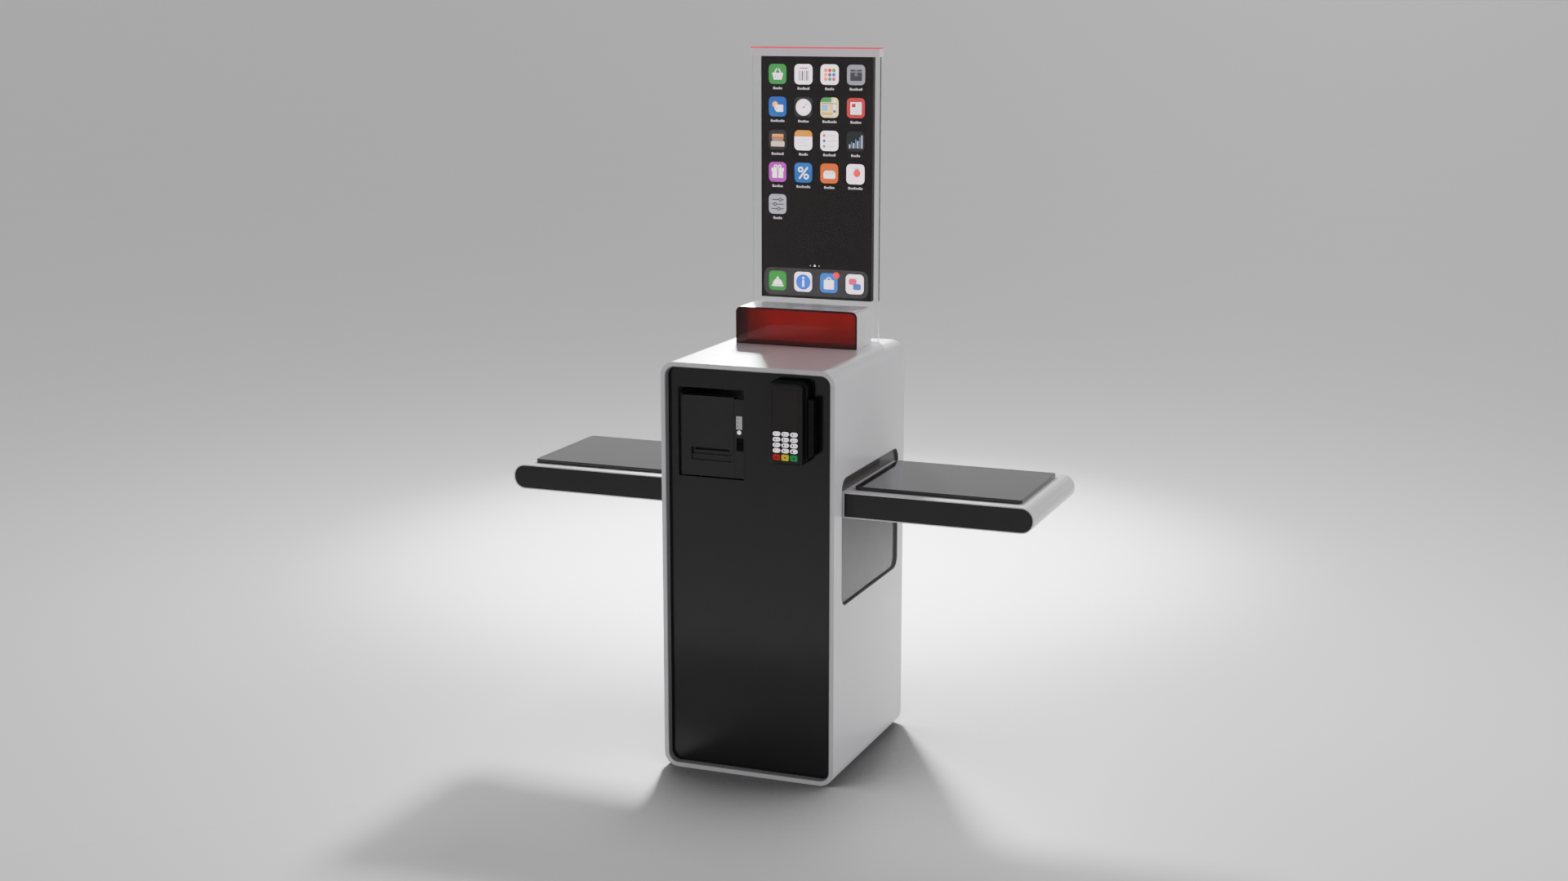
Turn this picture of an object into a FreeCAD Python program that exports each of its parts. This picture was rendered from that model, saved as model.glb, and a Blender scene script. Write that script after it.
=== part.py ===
import FreeCAD, Part
import os
import Sketcher

# Self checkout kiosk: a rounded pedestal with a shelf scale on each side, a scanner box and a
# glass blade with a portrait display on top, and a receipt printer and a payment terminal in
# the front. Millimetres. The origin is the middle of the pedestal's underside, the front
# faces -Y, +X is the customer's right and +Z is up.

DIMENSIONS = {
    # pedestal shell, a rounded tube that runs front to back
    "tower_width": 416.0, "tower_depth": 480.0, "tower_height": 950.0,
    "tower_radius": 33.5, "tower_wall": 9.8, "panel_recess": 17.5,
    "trim_wall": 1.8, "panel_thickness": 4.0, "seam": 0.4,
    "anchor_spacing_x": 300.0, "anchor_spacing_y": 360.0, "anchor_hole": 11.0,
    "base_thickness": 6.0, "base_side_margin": 25.0, "base_end_margin": 30.0,
    "base_radius": 10.0, "trim_setback": 0.6, "frame_headroom": 66.0,
    # holes that cables pass through
    "cable_hole": 12.0, "display_cable_hole": 7.0, "display_cable_setback": 22.0,
    "engine_cable_setback": 70.0,
    # smoked windows let into both sides
    "window_length": 392.0, "window_low": 407.0, "window_high": 702.0, "window_radius": 28.0,
    "window_centre": 4.0, "window_depth": 6.0, "window_thickness": 3.0, "liner_slack": 0.3,
    # shelves and scales
    "shelf_depth": 360.0, "shelf_top": 670.6, "shelf_thickness": 58.4, "shelf_wall": 2.8,
    "shelf_end_radius": 28.6, "right_reach": 642.5, "left_reach": 618.0,
    "fascia_thickness": 3.0, "fascia_recess": 1.0, "tower_end_wall": 7.0,
    "plate_inner": 222.5, "plate_margin_right": 36.0, "plate_margin_left": 41.5,
    "plate_depth": 301.0, "plate_thickness": 8.0, "plate_radius": 11.0,
    "plate_overlap": 14.0, "plate_gap": 0.6, "plate_edge": 1.6, "opening_radius": 6.0,
    "beam_width": 40.0, "beam_height": 20.0, "beam_wall": 2.5, "beam_offset": 100.0,
    "beam_low": 617.0, "beam_margin": 46.0, "tie_thickness": 4.0, "tie_overhang": 10.0,
    "cell_length": 130.0, "cell_width": 30.0, "cell_height": 15.0, "cell_foot": 30.0,
    "cell_lift": 3.0, "cell_rise": 1.0, "cell_hole": 5.5, "cell_hole_offset": 9.0,
    "spider_arm": 22.0, "spider_margin": 34.0, "pad_radius": 8.0, "pad_height": 2.0,
    # scanner box
    "scanner_width": 301.0, "scanner_front": -60.4, "scanner_depth": 103.0,
    "scanner_height": 87.0, "scanner_radius": 14.0, "scanner_wall": 3.0,
    "light_setback": 66.0, "light_thickness": 4.0, "scanner_liner_wall": 1.5,
    "engine_width": 64.0, "engine_depth": 22.0, "engine_height": 34.0, "lens_radius": 7.0,
    "lens_length": 2.4,
    # display blade
    "blade_width": 317.6, "blade_front": 185.7, "blade_thickness": 10.0,
    "blade_low": 902.0, "blade_high": 1622.0,
    "display_width": 278.0, "display_low": 1044.0, "display_high": 1611.7,
    "display_thickness": 17.0, "blade_corner": 0.8, "display_corner": 1.5,
    "cover_thickness": 22.0, "cover_side_inset": 15.0, "cover_end_inset": 20.0,
    "cover_corner": 14.0, "cover_edge": 7.0,
    "cap_width": 321.2, "cap_depth": 28.0, "cap_height": 17.8, "cap_corner": 2.0,
    "light_height": 3.0, "light_inset": 0.3, "light_edge": 0.8,
    "duct_width": 26.0, "duct_depth": 9.6, "duct_wall": 2.0, "duct_corner": 3.0,
    "clamp_depth": 34.0, "clamp_height": 52.0, "clamp_inset": 10.0, "clamp_corner": 3.0,
    "clamp_notch_width": 30.0, "clamp_notch_depth": 16.0,
    # receipt printer
    "printer_left": -172.5, "printer_right": -13.5, "printer_low": 688.0,
    "printer_high": 892.0, "printer_face_high": 873.5, "printer_seam": -38.0,
    "printer_depth": 118.0, "printer_recess": 3.0, "printer_side_gap": 1.2,
    "cover_gap_left": 5.5, "cover_depth": 12.0, "cover_wall": 3.0, "roll_offset": 78.7,
    "roll_radius": 32.0, "roll_width": 79.5, "roll_core": 6.0, "roll_clearance": 4.0,
    "platen_radius": 6.0, "axle_radius": 3.0, "axle_overhang": 10.0, "peg_radius": 1.9,
    "slot_width": 97.6, "paper_slit_width": 82.0, "paper_slit_height": 4.8,
    "button_radius": 4.5, "button_height": 107.5, "release_width": 15.8,
    "release_length": 28.0, "release_height": 80.0, "release_shift": 2.2,
    "label_width": 15.0, "label_length": 31.0, "label_height": 129.3,
    # payment terminal
    "terminal_centre": 102.0, "terminal_width": 79.0, "terminal_low": 741.0,
    "terminal_high": 921.0, "terminal_face": -266.0, "terminal_split": -249.0,
    "terminal_radius": 11.0, "terminal_wall": 2.4,
    "screen_width": 60.0, "screen_low": 818.5, "screen_high": 909.0,
    "key_width": 18.0, "key_height": 10.8, "key_pitch_x": 20.4, "key_pitch_z": 12.45,
    "top_key_row": 810.0, "function_key_height": 14.2, "function_key_row": 757.6,
    "key_gap": 0.35, "key_proud": 1.6, "key_stem": 3.4, "key_edge": 0.7,
    "track_groove": 1.8, "track_width": 13.0, "track_height": 131.0,
    # rear door
    "door_low": 92.0, "door_thickness": 3.0, "door_gap": 3.0, "lock_height": 560.0,
    "lock_setback": 40.0, "lock_radius": 9.0, "lock_head": 12.0,
    "hinge_radius": 3.6, "pin_radius": 1.5, "knuckle_length": 24.0, "leaf_thickness": 1.2,
    "inlet_x": -60.0, "inlet_width": 28.0, "inlet_height": 20.4,
    "jack_x": 30.0, "jack_width": 17.0, "jack_height": 14.6,
}

doc = FreeCAD.newDocument("kiosk")
sheet = doc.addObject("Spreadsheet::Sheet", "dims")
for row, (alias, number) in enumerate(DIMENSIONS.items(), start=1):
    sheet.set(f"A{row}", alias)
    sheet.set(f"B{row}", str(number))
    sheet.setAlias(f"B{row}", alias)
doc.recompute()

sub_parts = []


def dim(text):
    """Write an expression with bare aliases as one that names the sheet."""
    words = sorted(DIMENSIONS, key=len, reverse=True)
    result = text
    for index, word in enumerate(words):
        result = result.replace(word, f"<{index}>")
    for index, word in enumerate(words):
        result = result.replace(f"<{index}>", f"dims.{word}")
    return result


def value(text):
    """The number that an expression of aliases stands for."""
    return float(sheet.evalExpression(dim(str(text))))


def bind(target, path, text):
    target.setExpression(path, dim(f"({text}) * 1 mm"))


def keep(label, item):
    """Register a finished sub-part under its own label."""
    item.Label = label
    sub_parts.append(item)
    return item


# ---- sketches -----------------------------------------------------------------------------

def origin_plane(body, role):
    return next(f for f in body.Origin.OriginFeatures if f.Role == role)


def place_sketch(body, name, plane, centre):
    """A sketch on an origin plane, its local origin moved to a point of the model."""
    local = {
        "XY": (centre[0], centre[1], centre[2]),
        "XZ": (centre[0], centre[2], f"-({centre[1]})"),
        "YZ": (centre[1], centre[2], centre[0]),
    }[plane]
    sketch = body.newObject("Sketcher::SketchObject", name)
    sketch.AttachmentSupport = [(origin_plane(body, f"{plane}_Plane"), "")]
    sketch.MapMode = "FlatFace"
    for axis, text in zip("xyz", local):
        bind(sketch, f"AttachmentOffset.Base.{axis}", text)
    return sketch


def constrain(sketch, kind, arguments, name=None, text=None):
    number = [value(text)] if text else []
    index = sketch.addConstraint(Sketcher.Constraint(kind, *arguments, *number))
    if name:
        sketch.renameConstraint(index, name)
        bind(sketch, f"Constraints.{name}", text)


def draw_rectangle(sketch, width, height, radii):
    """A rectangle about the sketch's origin. radii holds an expression, or None for a sharp
    corner, at the lower left, lower right, upper right and upper left."""
    half_w, half_h = value(width) / 2, value(height) / 2
    r = [value(text) if text else 0.0 for text in radii]
    corners = [(-half_w, -half_h), (half_w, -half_h), (half_w, half_h), (-half_w, half_h)]
    steps = [(1, 0), (0, 1), (-1, 0), (0, -1)]
    first = sketch.GeometryCount
    for side in range(4):
        dx, dy = steps[side]
        end = (side + 1) % 4
        a = FreeCAD.Vector(corners[side][0] + dx * r[side], corners[side][1] + dy * r[side])
        b = FreeCAD.Vector(corners[end][0] - dx * r[end], corners[end][1] - dy * r[end])
        sketch.addGeometry(Part.LineSegment(a, b), False)
    quarter = 1.5707963267948966
    arcs = {}
    for corner in range(4):
        if not radii[corner]:
            continue
        x = corners[corner][0] + (r[corner] if corner in (0, 3) else -r[corner])
        y = corners[corner][1] + (r[corner] if corner in (0, 1) else -r[corner])
        circle = Part.Circle(FreeCAD.Vector(x, y), FreeCAD.Vector(0, 0, 1), r[corner])
        start = quarter * (corner + 2)
        arc = Part.ArcOfCircle(circle, start, start + quarter)
        arcs[corner] = sketch.addGeometry(arc, False)
    for corner in range(4):
        before, after = first + (corner + 3) % 4, first + corner
        if corner in arcs:
            constrain(sketch, "Tangent", (before, 2, arcs[corner], 1))
            constrain(sketch, "Tangent", (arcs[corner], 2, after, 1))
            constrain(sketch, "Radius", (arcs[corner],), f"Radius{arcs[corner]}", radii[corner])
        else:
            constrain(sketch, "Coincident", (before, 2, after, 1))
    bottom, right, top, left = range(first, first + 4)
    for line, kind in ((bottom, "Horizontal"), (right, "Vertical"), (top, "Horizontal"),
                       (left, "Vertical")):
        constrain(sketch, kind, (line,))
    constrain(sketch, "DistanceX", (left, 1, right, 1), f"Width{first}", width)
    constrain(sketch, "DistanceX", (-1, 1, right, 1), f"HalfWidth{first}", f"({width}) / 2")
    constrain(sketch, "DistanceY", (bottom, 1, top, 1), f"Height{first}", height)
    constrain(sketch, "DistanceY", (-1, 1, top, 1), f"HalfHeight{first}", f"({height}) / 2")


def draw_circle(sketch, radius):
    circle = Part.Circle(FreeCAD.Vector(0, 0), FreeCAD.Vector(0, 0, 1), value(radius))
    index = sketch.addGeometry(circle, False)
    constrain(sketch, "Coincident", (index, 3, -1, 1))
    constrain(sketch, "Radius", (index,), f"Radius{index}", radius)


# ---- solids -------------------------------------------------------------------------------

NORMAL_AXIS = {"XY": 2, "XZ": 1, "YZ": 0}
ACROSS = {"XY": (0, 1), "XZ": (0, 2), "YZ": (1, 2)}


def near_side(plane, centre, size):
    """The centre of the face that a sketch's normal points away from."""
    axis = NORMAL_AXIS[plane]
    sign = "+" if plane == "XZ" else "-"
    moved = list(centre)
    moved[axis] = f"({centre[axis]}) {sign} ({size[axis]}) / 2"
    return moved


def corner_list(radius):
    return [radius] * 4 if radius is None or isinstance(radius, str) else list(radius)


def new_body(name):
    body = doc.addObject("PartDesign::Body", name)
    body.AllowCompound = True
    return body


def add_block(body, plane, centre, size, radius=None):
    """Pad a rectangle whose corners are rounded in the given plane."""
    name = f"{body.Name}_sketch{len(body.Group)}"
    sketch = place_sketch(body, name, plane, near_side(plane, centre, size))
    u, v = ACROSS[plane]
    draw_rectangle(sketch, size[u], size[v], corner_list(radius))
    pad = body.newObject("PartDesign::Pad", f"{body.Name}_pad{len(body.Group)}")
    pad.Profile = sketch
    bind(pad, "Length", size[NORMAL_AXIS[plane]])
    doc.recompute()
    return pad


def check_cut(body, feature, before):
    doc.recompute()
    if not feature.Shape.Volume < before - 0.01:
        raise RuntimeError(f"{feature.Label} of {body.Label} removes nothing")


def cut_block(body, plane, centre, size, radius=None):
    """Pocket a rectangular prism out of the body."""
    before = body.Shape.Volume
    name = f"{body.Name}_sketch{len(body.Group)}"
    sketch = place_sketch(body, name, plane, near_side(plane, centre, size))
    u, v = ACROSS[plane]
    draw_rectangle(sketch, size[u], size[v], corner_list(radius))
    pocket = body.newObject("PartDesign::Pocket", f"{body.Name}_pocket{len(body.Group)}")
    pocket.Profile = sketch
    pocket.Reversed = True
    bind(pocket, "Length", size[NORMAL_AXIS[plane]])
    check_cut(body, pocket, before)
    return pocket


def add_disc(body, plane, centre, radius, length):
    sketch = place_sketch(body, f"{body.Name}_sketch{len(body.Group)}", plane,
                          near_side(plane, centre, (length, length, length)))
    draw_circle(sketch, radius)
    pad = body.newObject("PartDesign::Pad", f"{body.Name}_pad{len(body.Group)}")
    pad.Profile = sketch
    bind(pad, "Length", length)
    doc.recompute()
    return pad


def cut_disc(body, plane, centre, radius, length):
    before = body.Shape.Volume
    sketch = place_sketch(body, f"{body.Name}_sketch{len(body.Group)}", plane,
                          near_side(plane, centre, (length, length, length)))
    draw_circle(sketch, radius)
    pocket = body.newObject("PartDesign::Pocket", f"{body.Name}_pocket{len(body.Group)}")
    pocket.Profile = sketch
    pocket.Reversed = True
    bind(pocket, "Length", length)
    check_cut(body, pocket, before)
    return pocket


def block(name, plane, centre, size, radius=None):
    body = new_body(name)
    add_block(body, plane, centre, size, radius)
    return body


def disc(name, plane, centre, radius, length):
    body = new_body(name)
    add_disc(body, plane, centre, radius, length)
    return body


def fillet_edges(body, radius, wanted):
    """Round the edges of the body's tip that the test accepts."""
    tip = body.Tip
    names = [f"Edge{i}" for i, edge in enumerate(tip.Shape.Edges, start=1) if wanted(edge)]
    fillet = body.newObject("PartDesign::Fillet", f"{body.Name}_fillet{len(body.Group)}")
    fillet.Base = (tip, names)
    bind(fillet, "Radius", radius)
    doc.recompute()
    return fillet


def edges_at(axis, place, tolerance=0.01):
    """A test for edges that lie wholly at one coordinate."""
    def wanted(edge):
        box = edge.BoundBox
        low, high = ((box.XMin, box.XMax), (box.YMin, box.YMax), (box.ZMin, box.ZMax))[axis]
        return abs(low - place) < tolerance and abs(high - place) < tolerance
    return wanted


def group(label, items):
    compound = doc.addObject("Part::Compound", label)
    compound.Links = items
    doc.recompute()
    return keep(label, compound)


def mirrored(item, name):
    """The same piece on the other side of the YZ plane."""
    mirror = doc.addObject("Part::Mirroring", name)
    mirror.Source = item
    mirror.Normal = FreeCAD.Vector(1, 0, 0)
    doc.recompute()
    return mirror


# ---- pedestal -----------------------------------------------------------------------------

INNER_WIDTH = "tower_width - 2 * tower_wall"
INNER_HEIGHT = "tower_height - 2 * tower_wall"
INNER_RADIUS = "tower_radius - tower_wall"
HALF_HEIGHT = "tower_height / 2"
PANEL_FRONT = "-tower_depth / 2 + panel_recess"
WINDOW_HEIGHT = "window_high - window_low"
WINDOW_MIDDLE = "(window_high + window_low) / 2"
BLADE_CENTRE = "blade_front + blade_thickness / 2"
CORNERS_X = (-1, 1, 1, -1)
CORNERS_Y = (-1, -1, 1, 1)


def make_outer_shell():
    """The white tube, with its side windows, blade slot, cable hole and anchor holes."""
    body = new_body("outer_shell")
    size = ("tower_width", "tower_depth", "tower_height")
    add_block(body, "XZ", ("0", "0", HALF_HEIGHT), size, "tower_radius")
    cut_block(body, "XZ", ("0", "0", HALF_HEIGHT),
              (INNER_WIDTH, "tower_depth", INNER_HEIGHT), INNER_RADIUS)
    cut_block(body, "YZ", ("0", "window_centre", WINDOW_MIDDLE),
              ("tower_width", "window_length", WINDOW_HEIGHT), "window_radius")
    top = "tower_height - tower_wall / 2"
    cut_block(body, "XY", ("0", BLADE_CENTRE, top),
              ("blade_width + 2 * seam", "blade_thickness + 2 * seam", "tower_wall"))
    cut_disc(body, "XY", ("0", "blade_front + display_cable_setback", top),
             "display_cable_hole", "tower_wall")
    cut_disc(body, "XY", ("0", "-scanner_front + engine_cable_setback", top), "cable_hole",
             "tower_wall")
    for x, y in zip(CORNERS_X, CORNERS_Y):
        centre = (f"{x} * anchor_spacing_x / 2", f"{y} * anchor_spacing_y / 2", "tower_wall / 2")
        cut_disc(body, "XY", centre, "anchor_hole / 2", "tower_wall")
    return keep("outer_shell", body)


def make_trim_frames():
    """Grey liners of the recesses in front of the front panel and around the rear door."""
    frames = []
    for name, side in (("front_liner", "-1"), ("rear_liner", "1")):
        body = new_body(name)
        depth = "panel_recess - trim_setback"
        y = f"{side} * (tower_depth / 2 - trim_setback - ({depth}) / 2)"
        add_block(body, "XZ", ("0", y, HALF_HEIGHT), (INNER_WIDTH, depth, INNER_HEIGHT),
                  INNER_RADIUS)
        cut_block(body, "XZ", ("0", y, HALF_HEIGHT),
                  (f"{INNER_WIDTH} - 2 * trim_wall", depth, f"{INNER_HEIGHT} - 2 * trim_wall"),
                  f"{INNER_RADIUS} - trim_wall")
        frames.append(body)
    return group("trim_frames", frames)


def make_front_panel():
    """Gloss black panel with the printer opening and the terminal's cable hole."""
    body = new_body("front_panel")
    y = f"{PANEL_FRONT} + panel_thickness / 2"
    add_block(body, "XZ", ("0", y, HALF_HEIGHT), (INNER_WIDTH, "panel_thickness", INNER_HEIGHT),
              INNER_RADIUS)
    cut_block(body, "XZ",
              ("(printer_left + printer_right) / 2", y, "(printer_low + printer_high) / 2"),
              ("printer_right - printer_left", "panel_thickness", "printer_high - printer_low"))
    cut_disc(body, "XZ", ("terminal_centre", y, "(terminal_low + terminal_high) / 2"),
             "cable_hole", "panel_thickness")
    return keep("front_panel", body)


def make_base_plate():
    """Steel floor plate inside the shell, drilled on the anchor pattern."""
    body = block("base_plate", "XY", ("0", "0", "tower_wall + base_thickness / 2"),
                 (f"{INNER_WIDTH} - 2 * base_side_margin", "tower_depth - 2 * base_end_margin",
                  "base_thickness"), "base_radius")
    for x, y in zip(CORNERS_X, CORNERS_Y):
        centre = (f"{x} * anchor_spacing_x / 2", f"{y} * anchor_spacing_y / 2",
                  "tower_wall + base_thickness / 2")
        cut_disc(body, "XY", centre, "anchor_hole / 2", "base_thickness")
    return keep("base_plate", body)


FRAME_TUBE = 20
FRAME_HALF_X = 180
FRAME_HALF_Y = 196
FRAME_LOW = "tower_wall + base_thickness"
FRAME_HIGH = "tower_height - tower_wall - frame_headroom"
FRAME_MIDDLE = f"({FRAME_LOW} + {FRAME_HIGH}) / 2"
# the lock's strike, as the centre, width and depth of each plate that it's bent from
STRIKE_PARTS = ((192, 201, 8, 10), (194, 211, 4, 10), (188, 214.5, 16, 3))
STRIKE_HEIGHT = "30"


def make_inner_frame():
    """Welded square-tube frame: four uprights, rails at three heights and the lock's strike.

    The top level has no front rail, because the printer stands there."""
    body = new_body("inner_frame")
    height = f"({FRAME_HIGH}) - ({FRAME_LOW})"
    for x, y in zip(CORNERS_X, CORNERS_Y):
        add_block(body, "XY", (str(x * FRAME_HALF_X), str(y * FRAME_HALF_Y), FRAME_MIDDLE),
                  (str(FRAME_TUBE), str(FRAME_TUBE), height))
    levels = (f"{FRAME_LOW} + {FRAME_TUBE / 2}", f"beam_low - {FRAME_TUBE / 2}",
              f"{FRAME_HIGH} - {FRAME_TUBE / 2}")
    front_and_rear = ((-1, levels[0]), (1, levels[0]), (-1, levels[1]), (1, levels[1]),
                      (1, levels[2]))
    for side, z in front_and_rear:
        add_block(body, "YZ", ("0", str(side * FRAME_HALF_Y), z),
                  (str(2 * FRAME_HALF_X), str(FRAME_TUBE), str(FRAME_TUBE)))
    for z in levels:
        for side in (-1, 1):
            add_block(body, "XZ", (str(side * FRAME_HALF_X), "0", z),
                      (str(FRAME_TUBE), str(2 * FRAME_HALF_Y), str(FRAME_TUBE)))
    for x, y, width, depth in STRIKE_PARTS:
        add_block(body, "XY", (str(x), str(y), "lock_height"),
                  (str(width), str(depth), STRIKE_HEIGHT))
    return keep("inner_frame", body)


def make_windows():
    """Smoked side panels and the grey liners that carry them in the shell's cut-outs."""
    panel_x = "tower_width / 2 - window_depth - window_thickness / 2"
    liner_x = "tower_width / 2 - tower_wall / 2 - liner_slack / 2"
    liner = block("right_window_liner", "YZ", (liner_x, "window_centre", WINDOW_MIDDLE),
                  ("tower_wall - liner_slack", "window_length", WINDOW_HEIGHT), "window_radius")
    cut_block(liner, "YZ", (liner_x, "window_centre", WINDOW_MIDDLE),
              ("tower_wall - liner_slack", "window_length - 2 * trim_wall",
               f"{WINDOW_HEIGHT} - 2 * trim_wall"), "window_radius - trim_wall")
    group("window_trims", [liner, mirrored(liner, "left_window_liner")])
    pane = block("right_pane", "YZ", (panel_x, "window_centre", WINDOW_MIDDLE),
                 ("window_thickness", "window_length - 2 * trim_wall",
                  f"{WINDOW_HEIGHT} - 2 * trim_wall"), "window_radius - trim_wall")
    for side in (-1, 1):
        cut_block(pane, "YZ", (panel_x, f"{side} * beam_offset", "beam_low + beam_height / 2"),
                  ("window_thickness", "beam_width", "beam_height"))
    group("window_panels", [pane, mirrored(pane, "left_pane")])


# ---- shelves ------------------------------------------------------------------------------

def plate_middle(sign, reach, margin):
    return f"{sign} * (plate_inner + {reach} - {margin}) / 2"


def plate_length(reach, margin):
    return f"({reach} - {margin} - plate_inner)"


def make_shelf(side, sign, reach, margin):
    """White shelf shell: a flat tube with a bullnose outer end and an opening on top."""
    inner = "(tower_width / 2 - window_depth + seam)"
    length = f"({reach} - {inner})"
    centre = (f"{sign} * ({reach} + {inner}) / 2", "0", "shelf_top - shelf_thickness / 2")
    round_end = {"1": (None, "shelf_end_radius", "shelf_end_radius", None),
                 "-1": ("shelf_end_radius", None, None, "shelf_end_radius")}[sign]
    shell = new_body(f"{side}_shelf_shell")
    add_block(shell, "XZ", centre, (length, "shelf_depth", "shelf_thickness"), round_end)
    hollow_radius = "shelf_end_radius - shelf_wall"
    round_hollow = {"1": (None, hollow_radius, hollow_radius, None),
                    "-1": (hollow_radius, None, None, hollow_radius)}[sign]
    hollow_length = f"({length} - shelf_wall - tower_end_wall)"
    hollow_x = f"{sign} * (({reach} + {inner}) / 2 + (tower_end_wall - shelf_wall) / 2)"
    hollow_centre = (hollow_x, "0", "shelf_top - shelf_thickness / 2")
    hollow_size = [hollow_length, "shelf_depth", "shelf_thickness - 2 * shelf_wall"]
    cut_block(shell, "XZ", hollow_centre, hollow_size, round_hollow)
    opening = (plate_middle(sign, reach, margin), "0", "shelf_top - shelf_wall / 2")
    cut_block(shell, "XY", opening,
              (f"{plate_length(reach, margin)} - 2 * plate_overlap",
               "plate_depth - 2 * plate_overlap", "shelf_wall"), "opening_radius")
    for end in (-1, 1):
        cut_block(shell, "YZ", (f"{sign} * ({inner} + tower_end_wall / 2)",
                                f"{end} * beam_offset", "beam_low + beam_height / 2"),
                  ("tower_end_wall", "beam_width", "beam_height"))
    keep(f"{side}_shelf_shell", shell)

    fascias = []
    for face, end in (("front", "-1"), ("rear", "1")):
        y = f"{end} * (shelf_depth / 2 - fascia_recess - fascia_thickness / 2)"
        hollow_size[1] = "fascia_thickness"
        fascias.append(block(f"{side}_{face}_fascia", "XZ", (hollow_x, y, hollow_centre[2]),
                             hollow_size, round_hollow))
    return fascias


def make_scale(side, sign, reach, margin):
    """The lift-off glass plate; returns its load cell and the spider that carries it."""
    x = plate_middle(sign, reach, margin)
    plate = block(f"{side}_scale_plate", "XY",
                  (x, "0", "shelf_top + plate_gap + plate_thickness / 2"),
                  (plate_length(reach, margin), "plate_depth", "plate_thickness"),
                  "plate_radius")
    fillet_edges(plate, "plate_edge", edges_at(2, value("shelf_top + plate_gap + plate_thickness")))
    keep(f"{side}_scale_plate", plate)

    tie_top = "beam_low + beam_height + tie_thickness"
    cell_low = f"{tie_top} + cell_lift"
    cell_z = f"{cell_low} + cell_height / 2"
    cell = block(f"{side}_load_cell", "XZ", (x, "0", cell_z),
                 ("cell_length", "cell_width", "cell_height"))
    for end in (-1, 1):
        cut_disc(cell, "XZ", (f"{x} + {end} * cell_hole_offset", "0", cell_z), "cell_hole",
                 "cell_width")
    foot_shift = "(cell_length - cell_foot) / 2"
    add_block(cell, "XY", (f"{x} - {foot_shift}", "0", f"{cell_low} - cell_lift / 2"),
              ("cell_foot", "cell_width", "cell_lift"))
    add_block(cell, "XY", (f"{x} + {foot_shift}", "0",
                           f"{cell_low} + cell_height + cell_rise / 2"),
              ("cell_foot", "cell_width", "cell_rise"))

    arm_top = "shelf_top + plate_gap - pad_height - 0.3"
    arm_low = f"{cell_low} + cell_height + cell_rise"
    arm_height = f"({arm_top}) - ({arm_low})"
    arm_z = f"(({arm_top}) + ({arm_low})) / 2"
    spider = new_body(f"{side}_spider")
    reach_x = f"({plate_length(reach, margin)} / 2 - spider_margin)"
    reach_y = "(plate_depth / 2 - spider_margin)"
    add_block(spider, "XY", (x, "0", arm_z), (f"2 * {reach_x}", "spider_arm", arm_height))
    for end in (-1, 1):
        arm_x = f"{x} + {end} * ({reach_x} - spider_arm / 2)"
        add_block(spider, "XY", (arm_x, "0", arm_z),
                  ("spider_arm", f"2 * {reach_y}", arm_height))
        for row in (-1, 1):
            pad_y = f"{row} * ({reach_y} - spider_arm / 2)"
            add_disc(spider, "XY", (arm_x, pad_y, f"{arm_top} + pad_height / 2"), "pad_radius",
                     "pad_height")
    return [cell, spider]


def make_shelves():
    sides = (("right", "1", "right_reach", "plate_margin_right"),
             ("left", "-1", "left_reach", "plate_margin_left"))
    fascias, supports = [], []
    for arguments in sides:
        fascias += make_shelf(*arguments)
        supports += make_scale(*arguments)
    group("shelf_fascias", fascias)
    group("scale_supports", supports)


def make_shelf_beams():
    """Two box beams that run through the pedestal into both shelves, with cross ties."""
    body = new_body("shelf_beams")
    high, low = "(right_reach - beam_margin)", "(left_reach - beam_margin)"
    z = "beam_low + beam_height / 2"
    length = f"({high} + {low})"
    for side in (-1, 1):
        centre = (f"({high} - {low}) / 2", f"{side} * beam_offset", z)
        add_block(body, "YZ", centre, (length, "beam_width", "beam_height"))
        cut_block(body, "YZ", centre,
                  (length, "beam_width - 2 * beam_wall", "beam_height - 2 * beam_wall"))
    ties = (plate_middle("1", "right_reach", "plate_margin_right"), "0",
            plate_middle("-1", "left_reach", "plate_margin_left"))
    for x in ties:
        add_block(body, "XY", (x, "0", "beam_low + beam_height + tie_thickness / 2"),
                  ("cell_length + 2 * tie_overhang", "2 * beam_offset + beam_width",
                   "tie_thickness"))
    return keep("shelf_beams", body)


# ---- scanner box --------------------------------------------------------------------------

SCANNER_FRONT = "-scanner_front"
UPRIGHT = (None, None, "scanner_radius", "scanner_radius")
UPRIGHT_INNER = (None, None, "scanner_radius - scanner_wall", "scanner_radius - scanner_wall")
LIGHT_BACK = f"({SCANNER_FRONT} + light_setback + light_thickness)"


def scanner_block(body, front, depth, inset, corners, cut=False):
    """A slice of the box's upright outline, inset from its walls and open at the bottom."""
    make = cut_block if cut else add_block
    make(body, "XZ", ("0", f"({front}) + ({depth}) / 2",
                      f"tower_height + (scanner_height - ({inset})) / 2"),
         (f"scanner_width - 2 * ({inset})", depth, f"scanner_height - ({inset})"), corners)


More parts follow.
